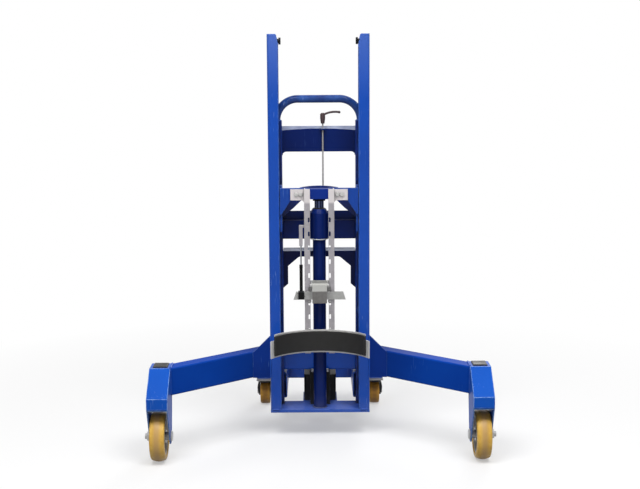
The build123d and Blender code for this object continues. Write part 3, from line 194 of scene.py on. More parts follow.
# %% [markdown]
# ## Soft edges, edge wear and painted edge highlights
# No folded plate or rolled tube has a knife edge, and paint is thinnest there. The mesh could be bevelled,
# but the frame's meshes stay as they are. A Bevel node gives the rounded normal instead, and the angle
# between it and the true normal marks the edge. Noise breaks that mark up, so a light setting comes in
# patches, and a heavy one closes them to a line. On bare metal the mark is wear. On paint its paler colour
# is wear and in part a painted highlight, and on the wheel hoods the line is a painted highlight along the
# folds.

# %% Group: soft edges
tree, given = new_group("soft_edges", Radius=0.0015, Wear=0.5, Patch_Scale=35.0)
rounded = put(tree, "Bevel", {"Radius": given["Radius"]}, samples=6).outputs["Normal"]
surface = put(tree, "NewGeometry").outputs["Normal"]
agreement = put(tree, "VectorMath", {0: rounded, 1: surface}, operation="DOT_PRODUCT")
turn = math_node(tree, "SUBTRACT", 1.0, agreement.outputs["Value"], clamp=True)
edge = times(tree, turn, 8.0, clamp=True)
patches = noise(tree, own_place(tree), given["Patch Scale"], 5.0)
# The edge mark: wear, and on paint also a painted highlight.
worn_and_lit = times(tree, edge, spread(tree, patches, 0.38, 0.6, 0.15))
worn_and_lit = times(tree, worn_and_lit, given["Wear"], clamp=True)
soft_edges = close_group(tree, Normal=rounded, Worn=worn_and_lit)

# %% [markdown]
# ## The skin of powder paint
# Powder coat melts and flows in the oven, and leaves a faint orange peel a few millimetres across. Two
# noises do it: a fine one for the peel, and a broad one for the cloudy tone of a coat that is a little
# thicker here and there.

# %% Group: paint skin
tree, given = new_group("paint_skin", Peel_Scale=260.0, Cloud_Scale=4.0)
place = own_place(tree)
peel = noise(tree, place, given["Peel Scale"])
cloud = noise(tree, place, given["Cloud Scale"], 6.0)
paint_skin = close_group(tree, Height=peel, Tone=spread(tree, cloud, 0.3, 0.7))

# %% [markdown]
# ## Dust from the floor, painted shade and sheen
# A machine that is rolled over a factory floor picks up grey dust: most near the wheels, and some on every
# ledge. Height above the floor and the upward part of the normal give the place, and noise gives the drift.
# A lower flatness lets dust lie on slopes too. The same mask darkens the tyres towards the floor, which is
# painted shade, and lays a pale painted sheen on the tops of the crossmembers.

# %% Group: floor dust, painted shade and sheen
tree, given = new_group("floor_dust_shade_and_sheen", Reach=0.35, Ledge=0.4, Flatness=0.85)
surface = put(tree, "NewGeometry").outputs
low = math_node(tree, "DIVIDE", on_axis(tree, surface["Position"], "Z"), given["Reach"])
low = math_node(tree, "SUBTRACT", 1.0, low, clamp=True)
flat = math_node(tree, "SUBTRACT", on_axis(tree, surface["Normal"], "Z"), given["Flatness"])
ledge = times(tree, spread(tree, flat, 0.0, 0.12), given["Ledge"])
drift = noise(tree, own_place(tree), 18.0, 8.0)
mask = times(tree, math_node(tree, "MAXIMUM", low, ledge), drift, clamp=True)
floor_dust_shade_and_sheen = close_group(tree, Mask=mask)

# %% [markdown]
# ## Scuffs, and corner grime with painted shade
# Straps, pallets and shoes leave short scratches that lie in clusters. Two noises, each stretched along its
# own direction and cut off high, leave thin lines, and a third noise keeps them in patches. An Ambient
# Occlusion node with a short reach finds where plates meet and darkens those corners: partly oil and dust,
# partly painted shade. With a longer reach, as on the posts, it paints the shade of recesses.

# %% Groups: scuffs, and corner grime with painted shade
SCUFF_TURNS = ((0.3, 0.8, 0.2), (1.1, -0.5, 0.9))
SCUFF_STRETCH = (15.0, 18.0, 1.0)

tree, given = new_group("scuffs", Scale=14.0, Amount=0.6)
place = own_place(tree)
lines = []
for turned in SCUFF_TURNS:
    sockets = {"Vector": place, "Rotation": turned, "Scale": SCUFF_STRETCH}
    drawn = put(tree, "Mapping", sockets).outputs["Vector"]
    lines.append(spread(tree, noise(tree, drawn, given["Scale"]), 0.68, 0.72))
cluster = spread(tree, noise(tree, place, 5.0, 4.0), 0.5, 0.64)
mask = times(tree, math_node(tree, "MAXIMUM", *lines), cluster)
mask = times(tree, mask, given["Amount"], clamp=True)
scuffs = close_group(tree, Mask=mask)

# Darkening by ambient occlusion: grime and painted shade in corners and recesses.
tree, given = new_group("corner_grime_and_shade", Distance=0.02, Amount=0.6)
hollow = put(tree, "AmbientOcclusion", {"Distance": given["Distance"]}, samples=4)
depth = spread(tree, hollow.outputs["AO"], 0.35, 0.85, 1.0, 0.0)
smear = noise(tree, own_place(tree), 45.0, 5.0)
mask = times(tree, depth, spread(tree, smear, 0.3, 0.6, 0.3))
mask = times(tree, mask, given["Amount"], clamp=True)
corner_grime_and_shade = close_group(tree, Mask=mask)

# %% [markdown]
# ## Zinc plate
# Plated and galvanised steel has a mottled, slightly crystalline grey. Stretched noise gives the rolling
# grain of the sheet as a bump. A cell pattern gives the spangle, and a broad noise makes the tone and the
# gloss uneven.

# %% Group: zinc spangle
ROLLING_STRETCH = (6.0, 6.0, 0.5)

tree, given = new_group("zinc_spangle", Cell_Scale=90.0, Grain_Scale=60.0)
place = own_place(tree)
cells = put(tree, "TexVoronoi", {"Vector": place, "Scale": given["Cell Scale"]})
cell_tone = put(tree, "SeparateColor", {0: cells.outputs["Color"]}).outputs[0]
rolled = put(tree, "Mapping", {"Vector": place, "Scale": ROLLING_STRETCH}).outputs["Vector"]
grain = noise(tree, rolled, given["Grain Scale"], 4.0)
blotch = noise(tree, place, 9.0, 5.0)
speckle = times(tree, cell_tone, 0.3)
speckle = math_node(tree, "ADD", speckle, times(tree, blotch, 0.9))
tone = math_node(tree, "SUBTRACT", speckle, 0.1, clamp=True)
zinc_spangle = close_group(tree, Tone=tone, Gloss=spread(tree, blotch, 0.3, 0.7), Height=grain)

# %% [markdown]
# ## Moulded grain
# Rubber and plastic copy the fine texture of their mould. A small cell pattern makes the leather-like
# grain, and a soft noise makes the patches that hands and dust have dulled.

# %% Group: mould grain
tree, given = new_group("mould_grain", Scale=900.0)
place = own_place(tree)
pips = put(tree, "TexVoronoi", {"Vector": place, "Scale": given["Scale"]})
dull = spread(tree, noise(tree, place, 22.0, 6.0), 0.3, 0.7)
mould_grain = close_group(tree, Height=pips.outputs["Distance"], Tone=dull)

# %% [markdown]
# ## The rolling band of a tyre
# The middle of each tread gets a tan band, and the shoulders keep their colour. The band is partly rolling
# wear and partly a painted reflection. The machine is the same left and right, so the size of X, less the
# place of the wheel's middle plane, says how far a point lies from the middle of its tread.

# %% Group: tread band of wear and painted reflection
tree, given = new_group("tread_wear_and_reflection", Middle=0.58, Half_Width=0.012)
place = own_place(tree)
away = math_node(tree, "ABSOLUTE", on_axis(tree, place, "X"))
away = math_node(tree, "SUBTRACT", away, given["Middle"])
away = math_node(tree, "DIVIDE", math_node(tree, "ABSOLUTE", away), given["Half Width"])
scuff = noise(tree, place, 70.0, 7.0)
ragged = math_node(tree, "ADD", away, times(tree, scuff, 0.6))
band = spread(tree, ragged, 0.7, 1.6, 1.0, 0.0)
tread_wear_and_reflection = close_group(tree, Band=band, Tone=spread(tree, scuff, 0.3, 0.7))

# %% [markdown]
# ## Painted steel
# All painted pieces share one recipe, from the bottom up: the coat with its cloudy tone, darkening in the
# corners that is grime and painted shade, paler edges and scuffs, which are wear and on edges also a
# painted highlight, and dust on top. A second colour can take over along an axis, where one piece changes
# its tone
# from end to end: painted light on some pieces, painted shade on others. The shader stays in the material,
# and only masks, tones and normals come from the groups.

# %% The recipe for paint
# Pale edge colour: wear, and in part a painted highlight along the edges.
PALE_BLUE_WEAR_AND_HIGHLIGHT = "6E95DA"
PALE_NAVY = "4E6AB0"
# Painted corners darken towards this colour: grime and painted shade.
CORNER_DIRT_AND_SHADE = "0B1020"
finishes = {}


def new_finish(name):
    """An empty material, kept under its name: gives its tree and its shader."""
    material = bpy.data.materials.new(name)
    material.use_nodes = True
    finishes[name] = material
    return material.node_tree, material.node_tree.nodes["Principled BSDF"]


def wire(tree, shader, base, roughness, height, normal, strength, depth, **constants):
    """Links what every finish here changes over the surface, and sets what stays the same on the shader."""
    sockets = {"Height": height, "Normal": normal, "Strength": strength, "Distance": depth}
    bump = put(tree, "Bump", sockets)
    tree.links.new(base, shader.inputs["Base Color"])
    tree.links.new(roughness, shader.inputs["Roughness"])
    tree.links.new(bump.outputs["Normal"], shader.inputs["Normal"])
    for name, value in constants.items():
        shader.inputs[name.replace("_", " ")].default_value = value


def take_over(tree, base, second):
    """Where a second colour is given, it takes over along an axis from one place to another; it paints
    light along some pieces and shade along others.
    """
    if not second:
        return base
    axis, start, end, code = second
    along = on_axis(tree, own_place(tree), axis)
    return blend(tree, spread(tree, along, start, end), base, code)


def painted(name, full, thin, worn_and_lit=PALE_BLUE_WEAR_AND_HIGHLIGHT, wear_and_highlight=0.6, rubbed=0.5, gloss=(0.42, 0.55), specular=0.12,
            coat=0.3, ledge=0.6, flatness=0.85, settled="A9ABB0", cover=0.42, recess=0.02, shade=0.6,
            cloud=4.0, fold=0.0022, second=None):
    """Powder coat with orange peel, cloudy tone, grime and painted shade in corners, worn edges that are
    also a painted highlight, scuffs, dust and a glossy skin.
    """
    tree, shader = new_finish(name)
    skin = use_group(tree, paint_skin, Cloud_Scale=cloud)
    edges = use_group(tree, soft_edges, Radius=fold, Wear=wear_and_highlight)
    dust = use_group(tree, floor_dust_shade_and_sheen, Reach=0.16, Ledge=ledge, Flatness=flatness)["Mask"]
    marks = use_group(tree, scuffs, Amount=rubbed)["Mask"]
    grime_and_shade = use_group(tree, corner_grime_and_shade, Distance=recess, Amount=shade)["Mask"]
    base = blend(tree, skin["Tone"], full, thin)
    base = take_over(tree, base, second)
    base = blend(tree, grime_and_shade, base, CORNER_DIRT_AND_SHADE)
    base = blend(tree, math_node(tree, "MAXIMUM", edges["Worn"], marks), base, worn_and_lit)
    base = blend(tree, times(tree, dust, cover), base, settled)
    roughness = spread(tree, skin["Tone"], 0.0, 1.0, *gloss)
    roughness = math_node(tree, "ADD", roughness, times(tree, dust, 0.3), clamp=True)
    wire(tree, shader, base, roughness, skin["Height"], edges["Normal"], strength=0.2, depth=0.0006,
         Specular_IOR_Level=specular, Coat_Weight=coat, Coat_Roughness=0.18)


print("paint recipe ready")

# %% [markdown]
# ## The coats of the machine
# The machine wears one blue powder coat, and these finishes paint light and shade into it. A painted sheen
# makes it paler at the top of the mast. Painted shade makes it deeper on the legs, deeper still at their
# roots and gussets, and dark in the hollows of the posts. The wheel hoods are a brighter, lit copy, and a
# painted highlight runs along their folds. The handlebar is patchy. The cylinder is its own navy, and the
# navy of the crossmembers and of the rear plate of the carriage is painted shade. On the tops of the upper
# and the lower crossmember a pale painted sheen is laid with the dust mask.

# %% Paint finishes
MAST_TOP_SHEEN = (1.28, 1.5)
LEG_ROOT_SHADE = (-0.2, 0.02)
CARRIAGE_REAR_SHADE = (-0.0345, -0.0335)
SATIN = {"specular": 0.06, "coat": 0.12}
SMOOTH = {"gloss": (0.34, 0.45), "ledge": 1.0, "flatness": 0.5}
# The pale strip on the crossmembers' tops is a painted sheen laid with the dust mask, over some dust.
DUST_AND_SHEEN = {"settled": "C9D2E8", "cover": 1.0, "rubbed": 0.2, "specular": 0.05, "coat": 0.1}

painted("blue_paint", "0E4AB2", "1254C2")
# Paler towards the top of the mast: a painted sheen.
painted("upright_paint_with_sheen", "0D47AB", "1150BB", fold=0.006, second=("Z", *MAST_TOP_SHEEN, "3F63BB"))
# Deeper on the legs and deeper still towards their roots: painted shade.
painted("leg_paint_shaded", "0B3EA0", "0F48B0", rubbed=0.15, specular=0.03, coat=0.0, ledge=0.05, cover=0.2,
        second=("Y", *LEG_ROOT_SHADE, "102C72"))
# Deepest on the gussets: painted shade.
painted("gusset_paint_shaded", "0A2C7C", "0D348A", specular=0.05, coat=0.05)
# Brighter hoods, a lit copy of the blue, with a pale painted highlight along their folds.
painted("hood_paint_lit", "0A52BA", "0E5CCA", "9CC4F8", wear_and_highlight=3.0, specular=0.08, coat=0.15, fold=0.004)
# The carriage's rear plate turns navy: painted shade.
painted("carriage_paint_shaded_rear", "0A3D98", "0E47A8", second=("Y", *CARRIAGE_REAR_SHADE, "0B2470"))
# Deeper posts, darkened strongly in their hollows: painted shade.
painted("post_paint_shaded", "0A2F88", "0D3896", recess=0.12, shade=1.3)
painted("handlebar_paint", "0A2A6C", "28539E", "A9BEE4", wear_and_highlight=0.9, rubbed=1.0, cloud=20.0)
painted("crosshead_paint", "0E2C84", "113490", PALE_NAVY, **SATIN)
# The cylinder's navy is its own coat; on the middle crossmember and the crossmembers' welds it is painted
# shade.
painted("navy_paint", "0A2262", "0D2874", PALE_NAVY, **SMOOTH, **SATIN)
# Navy crossmembers and shelf: painted shade, with a pale painted sheen on their tops.
painted("crossmember_paint_shade_and_sheen", "081C56", "0A2264", PALE_NAVY, **SMOOTH, **DUST_AND_SHEEN)
painted("shelf_paint_shade_and_sheen", "060F3A", "081446", PALE_NAVY, **SMOOTH, **DUST_AND_SHEEN)
painted("black_paint", "0E0F11", "151618", "77797C", specular=0.06, coat=0.1, ledge=0.15)
painted("red_brake", "7A1510", "8E1D15", "A8A29A", wear_and_highlight=0.7)
print(len(finishes), "coats of paint:", ", ".join(finishes))

# %% [markdown]
# ## Zinc, chrome and cast metal
# Zinc has a soft, mottled gloss, and part of its brightness comes from what stands around it. It comes in
# several tones here: bright on the nuts, greyer on the rails and the slider, with painted light on the rail
# brackets and on the top of the jaw, painted shade on the jaw's front, and a painted highlight on the lock
# ring. The ram and the rod of the gas spring are ground and chromed, with the fine rings of grinding. The
# wheel bodies are cast and coated grey, with a grainy skin.

# %% Bare metal
# Zinc corners darken towards this colour: grime and painted shade.
ZINC_DIRT_AND_SHADE = "4A4744"
ZINC_BARE = "E6E6E4"
ZINC_DUST = "6E655A"
CHROME_BARE = "C9CBCE"


def plated(name, bright, dull, metallic, gloss=(0.42, 0.56), cell=140.0, grain=0.0004, soil_and_shade=0.6,
           second=None):
    """Zinc plate with a spangle, a rolling grain and bright edges."""
    tree, shader = new_finish(name)
    spangle = use_group(tree, zinc_spangle, Cell_Scale=cell)
    edges = use_group(tree, soft_edges, Radius=0.0012, Wear=0.6, Patch_Scale=60.0)
    dust = use_group(tree, floor_dust_shade_and_sheen, Reach=0.3, Ledge=0.1)["Mask"]
    marks = use_group(tree, scuffs, Scale=22.0, Amount=0.35)["Mask"]
    grime_and_shade = use_group(tree, corner_grime_and_shade, Distance=0.012, Amount=soil_and_shade)["Mask"]
    base = blend(tree, spangle["Tone"], dull, bright)
    base = take_over(tree, base, second)
    base = blend(tree, grime_and_shade, base, ZINC_DIRT_AND_SHADE)
    base = blend(tree, math_node(tree, "MAXIMUM", edges["Worn"], marks), base, ZINC_BARE)
    base = blend(tree, times(tree, dust, 0.5), base, ZINC_DUST)
    roughness = spread(tree, spangle["Gloss"], 0.0, 1.0, *gloss)
    wire(tree, shader, base, roughness, spangle["Height"], edges["Normal"], strength=0.12, depth=grain,
         Metallic=metallic)


def ground(name, bright, dark, rings):
    """Ground and chromed bar with fine rings round it."""
    tree, shader = new_finish(name)
    sockets = {"Vector": own_place(tree), "Scale": (1.0, 1.0, rings)}
    squeezed = put(tree, "Mapping", sockets).outputs["Vector"]
    marks = noise(tree, squeezed, 8.0, 5.0)
    edges = use_group(tree, soft_edges, Radius=0.001, Wear=0.4)
    base = blend(tree, marks, dark, bright)
    base = blend(tree, edges["Worn"], base, CHROME_BARE)
    roughness = spread(tree, marks, 0.3, 0.7, 0.12, 0.26)
    wire(tree, shader, base, roughness, marks, edges["Normal"], strength=0.05, depth=0.0003, Metallic=1.0)


BRACKET_LIT_ABOVE = (0.898, 0.906)
JAW_SKIRT = 0.045
jaw_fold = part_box("beak_jaw")[0].z + JAW_SKIRT
# Above its fold the jaw is lighter, painted light; its darker front is painted shade.
jaw_lit_top = (jaw_fold - 0.003, jaw_fold + 0.002)
plated("zinc", "E2E2E0", "BEBDBB", metallic=0.35, gloss=(0.4, 0.54), cell=90.0)
plated("zinc_dark", "B6B4B2", "949290", metallic=0.35)
plated("slider_zinc", "C0C0BE", "A2A2A0", metallic=0.35)
# A darker zinc for the jaw's front, painted shade, with painted light on its top.
plated("jaw_zinc_shaded_lit_top", "848280", "666462", metallic=0.35, second=("Z", *jaw_lit_top, "A6A6A2"))
# Greyer rails that turn light at the brackets, above their foot: painted light.
plated("rail_zinc_lit_bracket", "BEBABF", "9E9A9F", metallic=0.3, gloss=(0.4, 0.54), cell=90.0,
       second=("Z", *BRACKET_LIT_ABOVE, "E6E0E1"))
plated("nut_zinc", "F0F0EE", "D8D8D6", metallic=0.2, gloss=(0.34, 0.48), cell=90.0)
# Near-white and free of grime: a painted highlight on the lock ring.
plated("lock_zinc", "F8FAFA", "E4ECEE", metallic=0.0, gloss=(0.3, 0.4), cell=90.0, soil_and_shade=0.05)
plated("wheel_core", "E2DFD8", "C4C0B8", metallic=0.1, gloss=(0.5, 0.65), cell=300.0, grain=0.0008)
ground("bright_steel", "B4B6BA", "84878C", rings=60.0)
ground("dark_chrome", "586284", "2A324C", rings=40.0)
print("metals ready, the jaw folds at height", round(jaw_fold, 4))

# %% [markdown]
# ## Tyres, rubber and plastic
# The tyres are cast polyurethane: honey yellow and slightly waxy. A tan band down the middle of the tread
# is rolling wear and a painted reflection, and the darker bottom is dirt and painted shade that stays near
# the floor. The lining of the saddle is dull black rubber, and the caps and the hand lever are grained
# plastic.

# %% Tyres and moulded pieces
# Towards the floor the tyres darken to this colour: dirt and painted shade, which stays at the bottom as a
# wheel turns.
TYRE_DIRT_AND_SHADE = "3B2A18"
MOULD_WORN = "55534F"
BAND_HALF_WIDTH = 0.012


def cast_tyre(name, fresh, aged, rolled, middle):
    """Polyurethane with a tan band of wear and painted reflection, scuffs, and dirt and painted shade near
    the floor.
    """
    tree, shader = new_finish(name)
    band = use_group(tree, tread_wear_and_reflection, Middle=middle, Half_Width=BAND_HALF_WIDTH)
    edges = use_group(tree, soft_edges, Radius=0.002, Wear=0.4)
    dust = use_group(tree, floor_dust_shade_and_sheen, Reach=0.07, Ledge=0.1)["Mask"]
    base = blend(tree, band["Tone"], fresh, aged)
    base = blend(tree, times(tree, band["Band"], 0.75), base, rolled)
    base = blend(tree, dust, base, TYRE_DIRT_AND_SHADE)
    roughness = spread(tree, band["Tone"], 0.0, 1.0, 0.36, 0.55)
    wire(tree, shader, base, roughness, band["Tone"], edges["Normal"], strength=0.2, depth=0.0006)


def moulded(name, dark, dusty, scale, gloss):
    """Rubber or plastic with the grain of its mould and dulled patches."""
    tree, shader = new_finish(name)
    grain = use_group(tree, mould_grain, Scale=scale)
    edges = use_group(tree, soft_edges, Radius=0.0015, Wear=0.5)
    base = blend(tree, grain["Tone"], dark, dusty)
    base = blend(tree, edges["Worn"], base, MOULD_WORN)
    roughness = spread(tree, grain["Tone"], 0.0, 1.0, *gloss)
    wire(tree, shader, base, roughness, grain["Height"], edges["Normal"], strength=0.3, depth=0.0005)


def middle_of(node):
    """The middle of a node's box."""
    low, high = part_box(node)
    return (low + high) / 2


def half_width(node):
    """Half of a node's width, which is the radius of an upright bar."""
    low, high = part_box(node)
    return (high.x - low.x) / 2


front_middle = middle_of("right_front_tyre").x
caster_middle = middle_of("right_caster_tyre").x
cast_tyre("front_tyre", "EEC25A", "DFAE48", "C29A66", front_middle)
cast_tyre("caster_tyre", "F2B640", "D49430", "B07A32", caster_middle)
moulded("black_rubber", "0E0E0F", "1C1B1A", scale=700.0, gloss=(0.6, 0.8))
moulded("black_plastic", "121212", "1E1D1C", scale=1400.0, gloss=(0.42, 0.6))
moulded("lever_plastic", "33232A", "4C393B", scale=1100.0, gloss=(0.5, 0.68))
print("tyres at", round(front_middle, 4), "and", round(caster_middle, 4))

# %% [markdown]
# ## Finishes on the frame's own nodes
# The record names a slot for each node. Most nodes take the finish of their slot, and some have their own:
# the coats of the mast, the legs, the hoods and the carriage, the tones of the rails, the beak and the
# axles, the smaller tyres and the hand lever. A frame node keeps its mesh and only gets a material.

# %% Give every frame node its finish
finish_of_node = {
    "left_upright": "upright_paint_with_sheen", "right_upright": "upright_paint_with_sheen", "rear_posts": "post_paint_shaded",
    "handlebar": "handlebar_paint", "upper_crossmember": "crossmember_paint_shade_and_sheen",
    "middle_crossmember": "navy_paint", "lower_crossmember": "shelf_paint_shade_and_sheen", "left_leg": "leg_paint_shaded",
    "right_leg": "leg_paint_shaded", "leg_gussets": "gusset_paint_shaded", "left_wheel_hood": "hood_paint_lit",
    "right_wheel_hood": "hood_paint_lit", "carriage_plates": "carriage_paint_shaded_rear", "crosshead": "crosshead_paint",
    "left_rail": "rail_zinc_lit_bracket", "right_rail": "rail_zinc_lit_bracket", "beak_slider": "slider_zinc",
    "beak_jaw": "jaw_zinc_shaded_lit_top", "front_axles": "nut_zinc", "caster_plates": "zinc_dark",
    "lowering_rod": "zinc_dark", "gas_spring_rod": "bright_steel", "left_caster_tyre": "caster_tyre",
    "right_caster_tyre": "caster_tyre", "lowering_handle": "lever_plastic",
}
for subpart in frame["record"]["subparts"]:
    node, slot = subpart["node"], subpart["material_slot"]
    finish = finish_of_node.get(node, "front_tyre" if slot == "yellow_tyre" else slot)
    mesh = frame["nodes"][node].data
    mesh.materials.clear()
    mesh.materials.append(finishes[finish])

# %% [markdown]
# ## Helpers for swept and turned pieces
# Small fittings are skins over rings of points. A bead of weld or a thread is a row of rings, closed at
# both ends. A washer is rings that run round and meet themselves. Every piece rides on a body of the frame,
# and takes its finish by name.

# %% Skins over rings
SIDES = (("left", -1), ("right", 1))


def make_piece(name, points, faces, finish, body):
    """Turns points and faces into a smooth piece that rides on a body."""
    mesh = bpy.data.meshes.new(name)
    mesh.from_pydata([tuple(p) for p in points], [], faces)
    build = bmesh.new()
    build.from_mesh(mesh)
    bmesh.ops.recalc_face_normals(build, faces=build.faces)
    build.to_mesh(mesh)
    build.free()
    mesh.shade_smooth()
    mesh.materials.append(finishes[finish])
    piece = bpy.data.objects.new(name, mesh)
    bpy.context.scene.collection.objects.link(piece)
    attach(piece, body)
    return piece


def skin_over(rings):
    """Faces between rings that all have the same number of points, each ring joined to the next."""
    count = len(rings[0])
    faces = []
    for row in range(len(rings) - 1):
        low, high = row * count, (row + 1) * count
        for i in range(count):
            j = (i + 1) % count
            faces.append((low + i, low + j, high + j, high + i))
    return faces


def capped(rings):
    """Points and faces of a row of rings with closed ends."""
    points = [point for ring in rings for point in ring]
    count = len(rings[0])
    first_end = tuple(range(count))
    last_end = tuple(reversed(range(len(points) - count, len(points))))
    return points, [*skin_over(rings), first_end, last_end]


def looped(rings):
    """Points and faces of rings that run round and meet themselves."""
    points = [point for ring in rings for point in ring]
    faces = skin_over(rings + [rings[0]])
    return points, [tuple(i % len(points) for i in face) for face in faces]


def square_to(direction):
    """Two directions square to the given one and to each other."""
    helper = Vector((0, 0, 1)) if abs(direction.z) < 0.9 else Vector((1, 0, 0))
    first = direction.cross(helper).normalized()
    return first, direction.cross(first).normalized()


def circle(middle, radius, first, second, turns):
    """Points at the given turns on a circle through two directions."""
    return [middle + radius * (math.cos(a) * first + math.sin(a) * second) for a in turns]


def full_turn(count):
    """Angles spread evenly over one turn."""
    return [2 * math.pi * i / count for i in range(count)]


print("sweep helpers ready")

# %% [markdown]
# ## Weld beads
# The mast, the legs and the hoods are welded from plate and tube. A bead could be painted as a bump, but it
# would vanish in silhouette, so each one is a thin swept mesh: rings along a line, swelling and shrinking
# with the welder's ripple, and closed at both ends. A part of each ring is sunk in the corner that it
# fills.

# %% Weld helper
BEAD_SIDES = 8
RINGS_A_RIPPLE = 3
RIPPLE_PITCH = 0.0032
RIPPLE_SWELL = 0.2
RIPPLE_CHANCE = 0.05
BEAD_END = 0.55


def weld_rings(path, radius, seed):
    """Rings of a rippled bead along a line of points."""
    dice = random.Random(seed)
    rings = []
    for start, end in zip(path[:-1], path[1:]):
        run = end - start
        steps = max(2, round(run.length / (RIPPLE_PITCH / RINGS_A_RIPPLE)))
        first, second = square_to(run.normalized())
        for step in range(steps + 1):
            ripple = RIPPLE_SWELL * math.sin(math.pi * (step % RINGS_A_RIPPLE) / RINGS_A_RIPPLE)
            ripple = 1 + ripple + dice.uniform(-RIPPLE_CHANCE, RIPPLE_CHANCE)
            taper = BEAD_END if step in (0, steps) else 1.0
            middle = start.lerp(end, step / steps)
            rings.append(circle(middle, radius * ripple * taper, first, second, full_turn(BEAD_SIDES)))
    return rings


def weld(name, corners, radius, finish="blue_paint", body="chassis"):
    """One weld bead through the given corners."""
    points, faces = capped(weld_rings([Vector(corner) for corner in corners], radius, name))
    make_piece(name, points, faces, finish, body)


def weld_round(name, middle, across, radius, count, finish="blue_paint"):
    """A bead round the foot of an upright tube."""
    turns = [*full_turn(count), 2 * math.pi]
    weld(name, circle(middle, across, Vector((1, 0, 0)), Vector((0, 1, 0)), turns), radius, finish)


print("weld helper ready")

# %% [markdown]
# ## Welds of the legs, the crossmembers and the handlebar
# The places come from the frame: each bead runs along the edge where two nodes meet, and stops a little
# short of the corners. The long ones are at the mouth of the wheel hoods and beside the gussets, and there
# is a ring at each foot of the handlebar. The front face of a crossmember can end below its top, under a
# slope or an upstand that is set back, and its bead ends there too.

# %% Weld the frame together
LEG_BEAD = 0.0036
PLATE_BEAD = 0.003
TUBE_BEAD = 0.0026
CORNER_GAP = 0.006
SMALL_GAP = 0.004
CHANNEL_FOLD = 0.008
CHANNEL_FACE = 0.034
GROOVE_SINK = 0.0015
FACE_ENDS_BELOW = {"upper_crossmember": 0.014, "middle_crossmember": 0.032, "lower_crossmember": 0.0}

leg_low, leg_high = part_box("right_leg")
gusset_low, gusset_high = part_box("leg_gussets")
hood_low, hood_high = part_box("right_wheel_hood")
upright_low, upright_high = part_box("right_upright")
for side, sign in SIDES:
    x, y = sign * hood_low.x, leg_low.y
    corners = [(x, y, leg_low.z + CORNER_GAP), (x, y, leg_high.z - CORNER_GAP)]
    weld(f"{side}_leg_hood_weld", corners, LEG_BEAD)
    corners = [(x, y + SMALL_GAP, leg_high.z), (x, hood_high.y - SMALL_GAP, leg_high.z)]
    weld(f"{side}_leg_hood_top_weld", corners, LEG_BEAD)
    x, y = sign * (upright_high.x - GROOVE_SINK), gusset_low.y + GROOVE_SINK
    weld(f"{side}_gusset_weld", [(x, y, gusset_low.z), (x, y, gusset_high.z)], PLATE_BEAD)
    outer, inner = (sign * (upright_high.x - inset) for inset in (CHANNEL_FOLD, CHANNEL_FACE))
    y, z = upright_low.y, upright_low.z
    weld(f"{side}_upright_foot_weld", [(outer, y, z), (inner, y, z)], PLATE_BEAD)

middle_low, middle_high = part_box("middle_crossmember")
post_inner = middle_high.x
# These welds take the navy of the crossmembers, which is painted shade.
for beam, below in FACE_ENDS_BELOW.items():
    beam_low, beam_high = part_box(beam)
    top = beam_high.z - below
    for side, sign in SIDES:
        x, y = sign * post_inner, middle_low.y
        corners = [(x, y, beam_low.z + SMALL_GAP), (x, y, top - SMALL_GAP)]
        weld(f"{side}_{beam}_weld", corners, TUBE_BEAD, "navy_paint")

bar_low, bar_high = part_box("handlebar")
bar_radius = (bar_high.y - bar_low.y) / 2
for side, sign in SIDES:
    foot = Vector((sign * (bar_high.x - bar_radius), (bar_low.y + bar_high.y) / 2, bar_low.z))
    weld_round(f"{side}_handlebar_weld", foot, bar_radius, TUBE_BEAD, count=24)
print("frame welds done, the crossmembers end at", round(post_inner, 4))

# %% [markdown]
# ## Welds of the rear frame
# Behind the mast two beams run back to the beam over the casters. Their welds show from the operator's
# side, so the beads lie along the top edges and down the sides of each joint, and along the caster plates.

# %% Weld the rear frame
REAR_BEAM_WIDTH = 0.06
CASTER_PLATE_WIDTH = 0.066

beam_low, beam_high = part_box("rear_beams")
cross_low, cross_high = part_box("rear_crossbeam")
base_low, base_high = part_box("base_crossbeam")
for side, sign in SIDES:
    outer, inner = sign * beam_high.x, sign * (beam_high.x - REAR_BEAM_WIDTH)
    top, gap = beam_high.z, sign * CORNER_GAP
    for place, y, end in (("front", beam_low.y, sign * post_inner), ("rear", beam_high.y, inner)):
        corners = [(outer, y, beam_low.z + CORNER_GAP), (outer, y, top - CORNER_GAP)]
        weld(f"{side}_rear_beam_{place}_weld", corners, PLATE_BEAD)
        corners = [(outer - gap, y, top), (end + gap, y, top)]
        weld(f"{side}_rear_beam_{place}_top_weld", corners, PLATE_BEAD)
    x, y = sign * post_inner, base_low.y
    corners = [(x, y, base_low.z + CORNER_GAP), (x, y, base_high.z - CORNER_GAP)]
    weld(f"{side}_base_crossbeam_weld", corners, PLATE_BEAD)
    outer = sign * (cross_high.x - SMALL_GAP)
    inner = sign * (cross_high.x - CASTER_PLATE_WIDTH) + sign * SMALL_GAP
    for place, y in (("front", cross_low.y), ("rear", cross_high.y)):
        corners = [(outer, y, cross_low.z), (inner, y, cross_low.z)]
        weld(f"{side}_caster_plate_{place}_weld", corners, PLATE_BEAD)
print("rear welds done at height", round(beam_high.z, 3))

# %% [markdown]
# ## Welds of the rails and the cylinder
# Each slotted rail is welded to the flat bracket that carries it, and was plated afterwards, so those beads
# are zinc. The cylinder stands on the base plate in a painted ring of weld.

# %% Weld the rails and the cylinder foot
RAIL_BEAD = 0.0022
RAIL_FACE = 0.0215
BRACKET_PLATE = 0.006
BRACKET_HEIGHT = 0.041

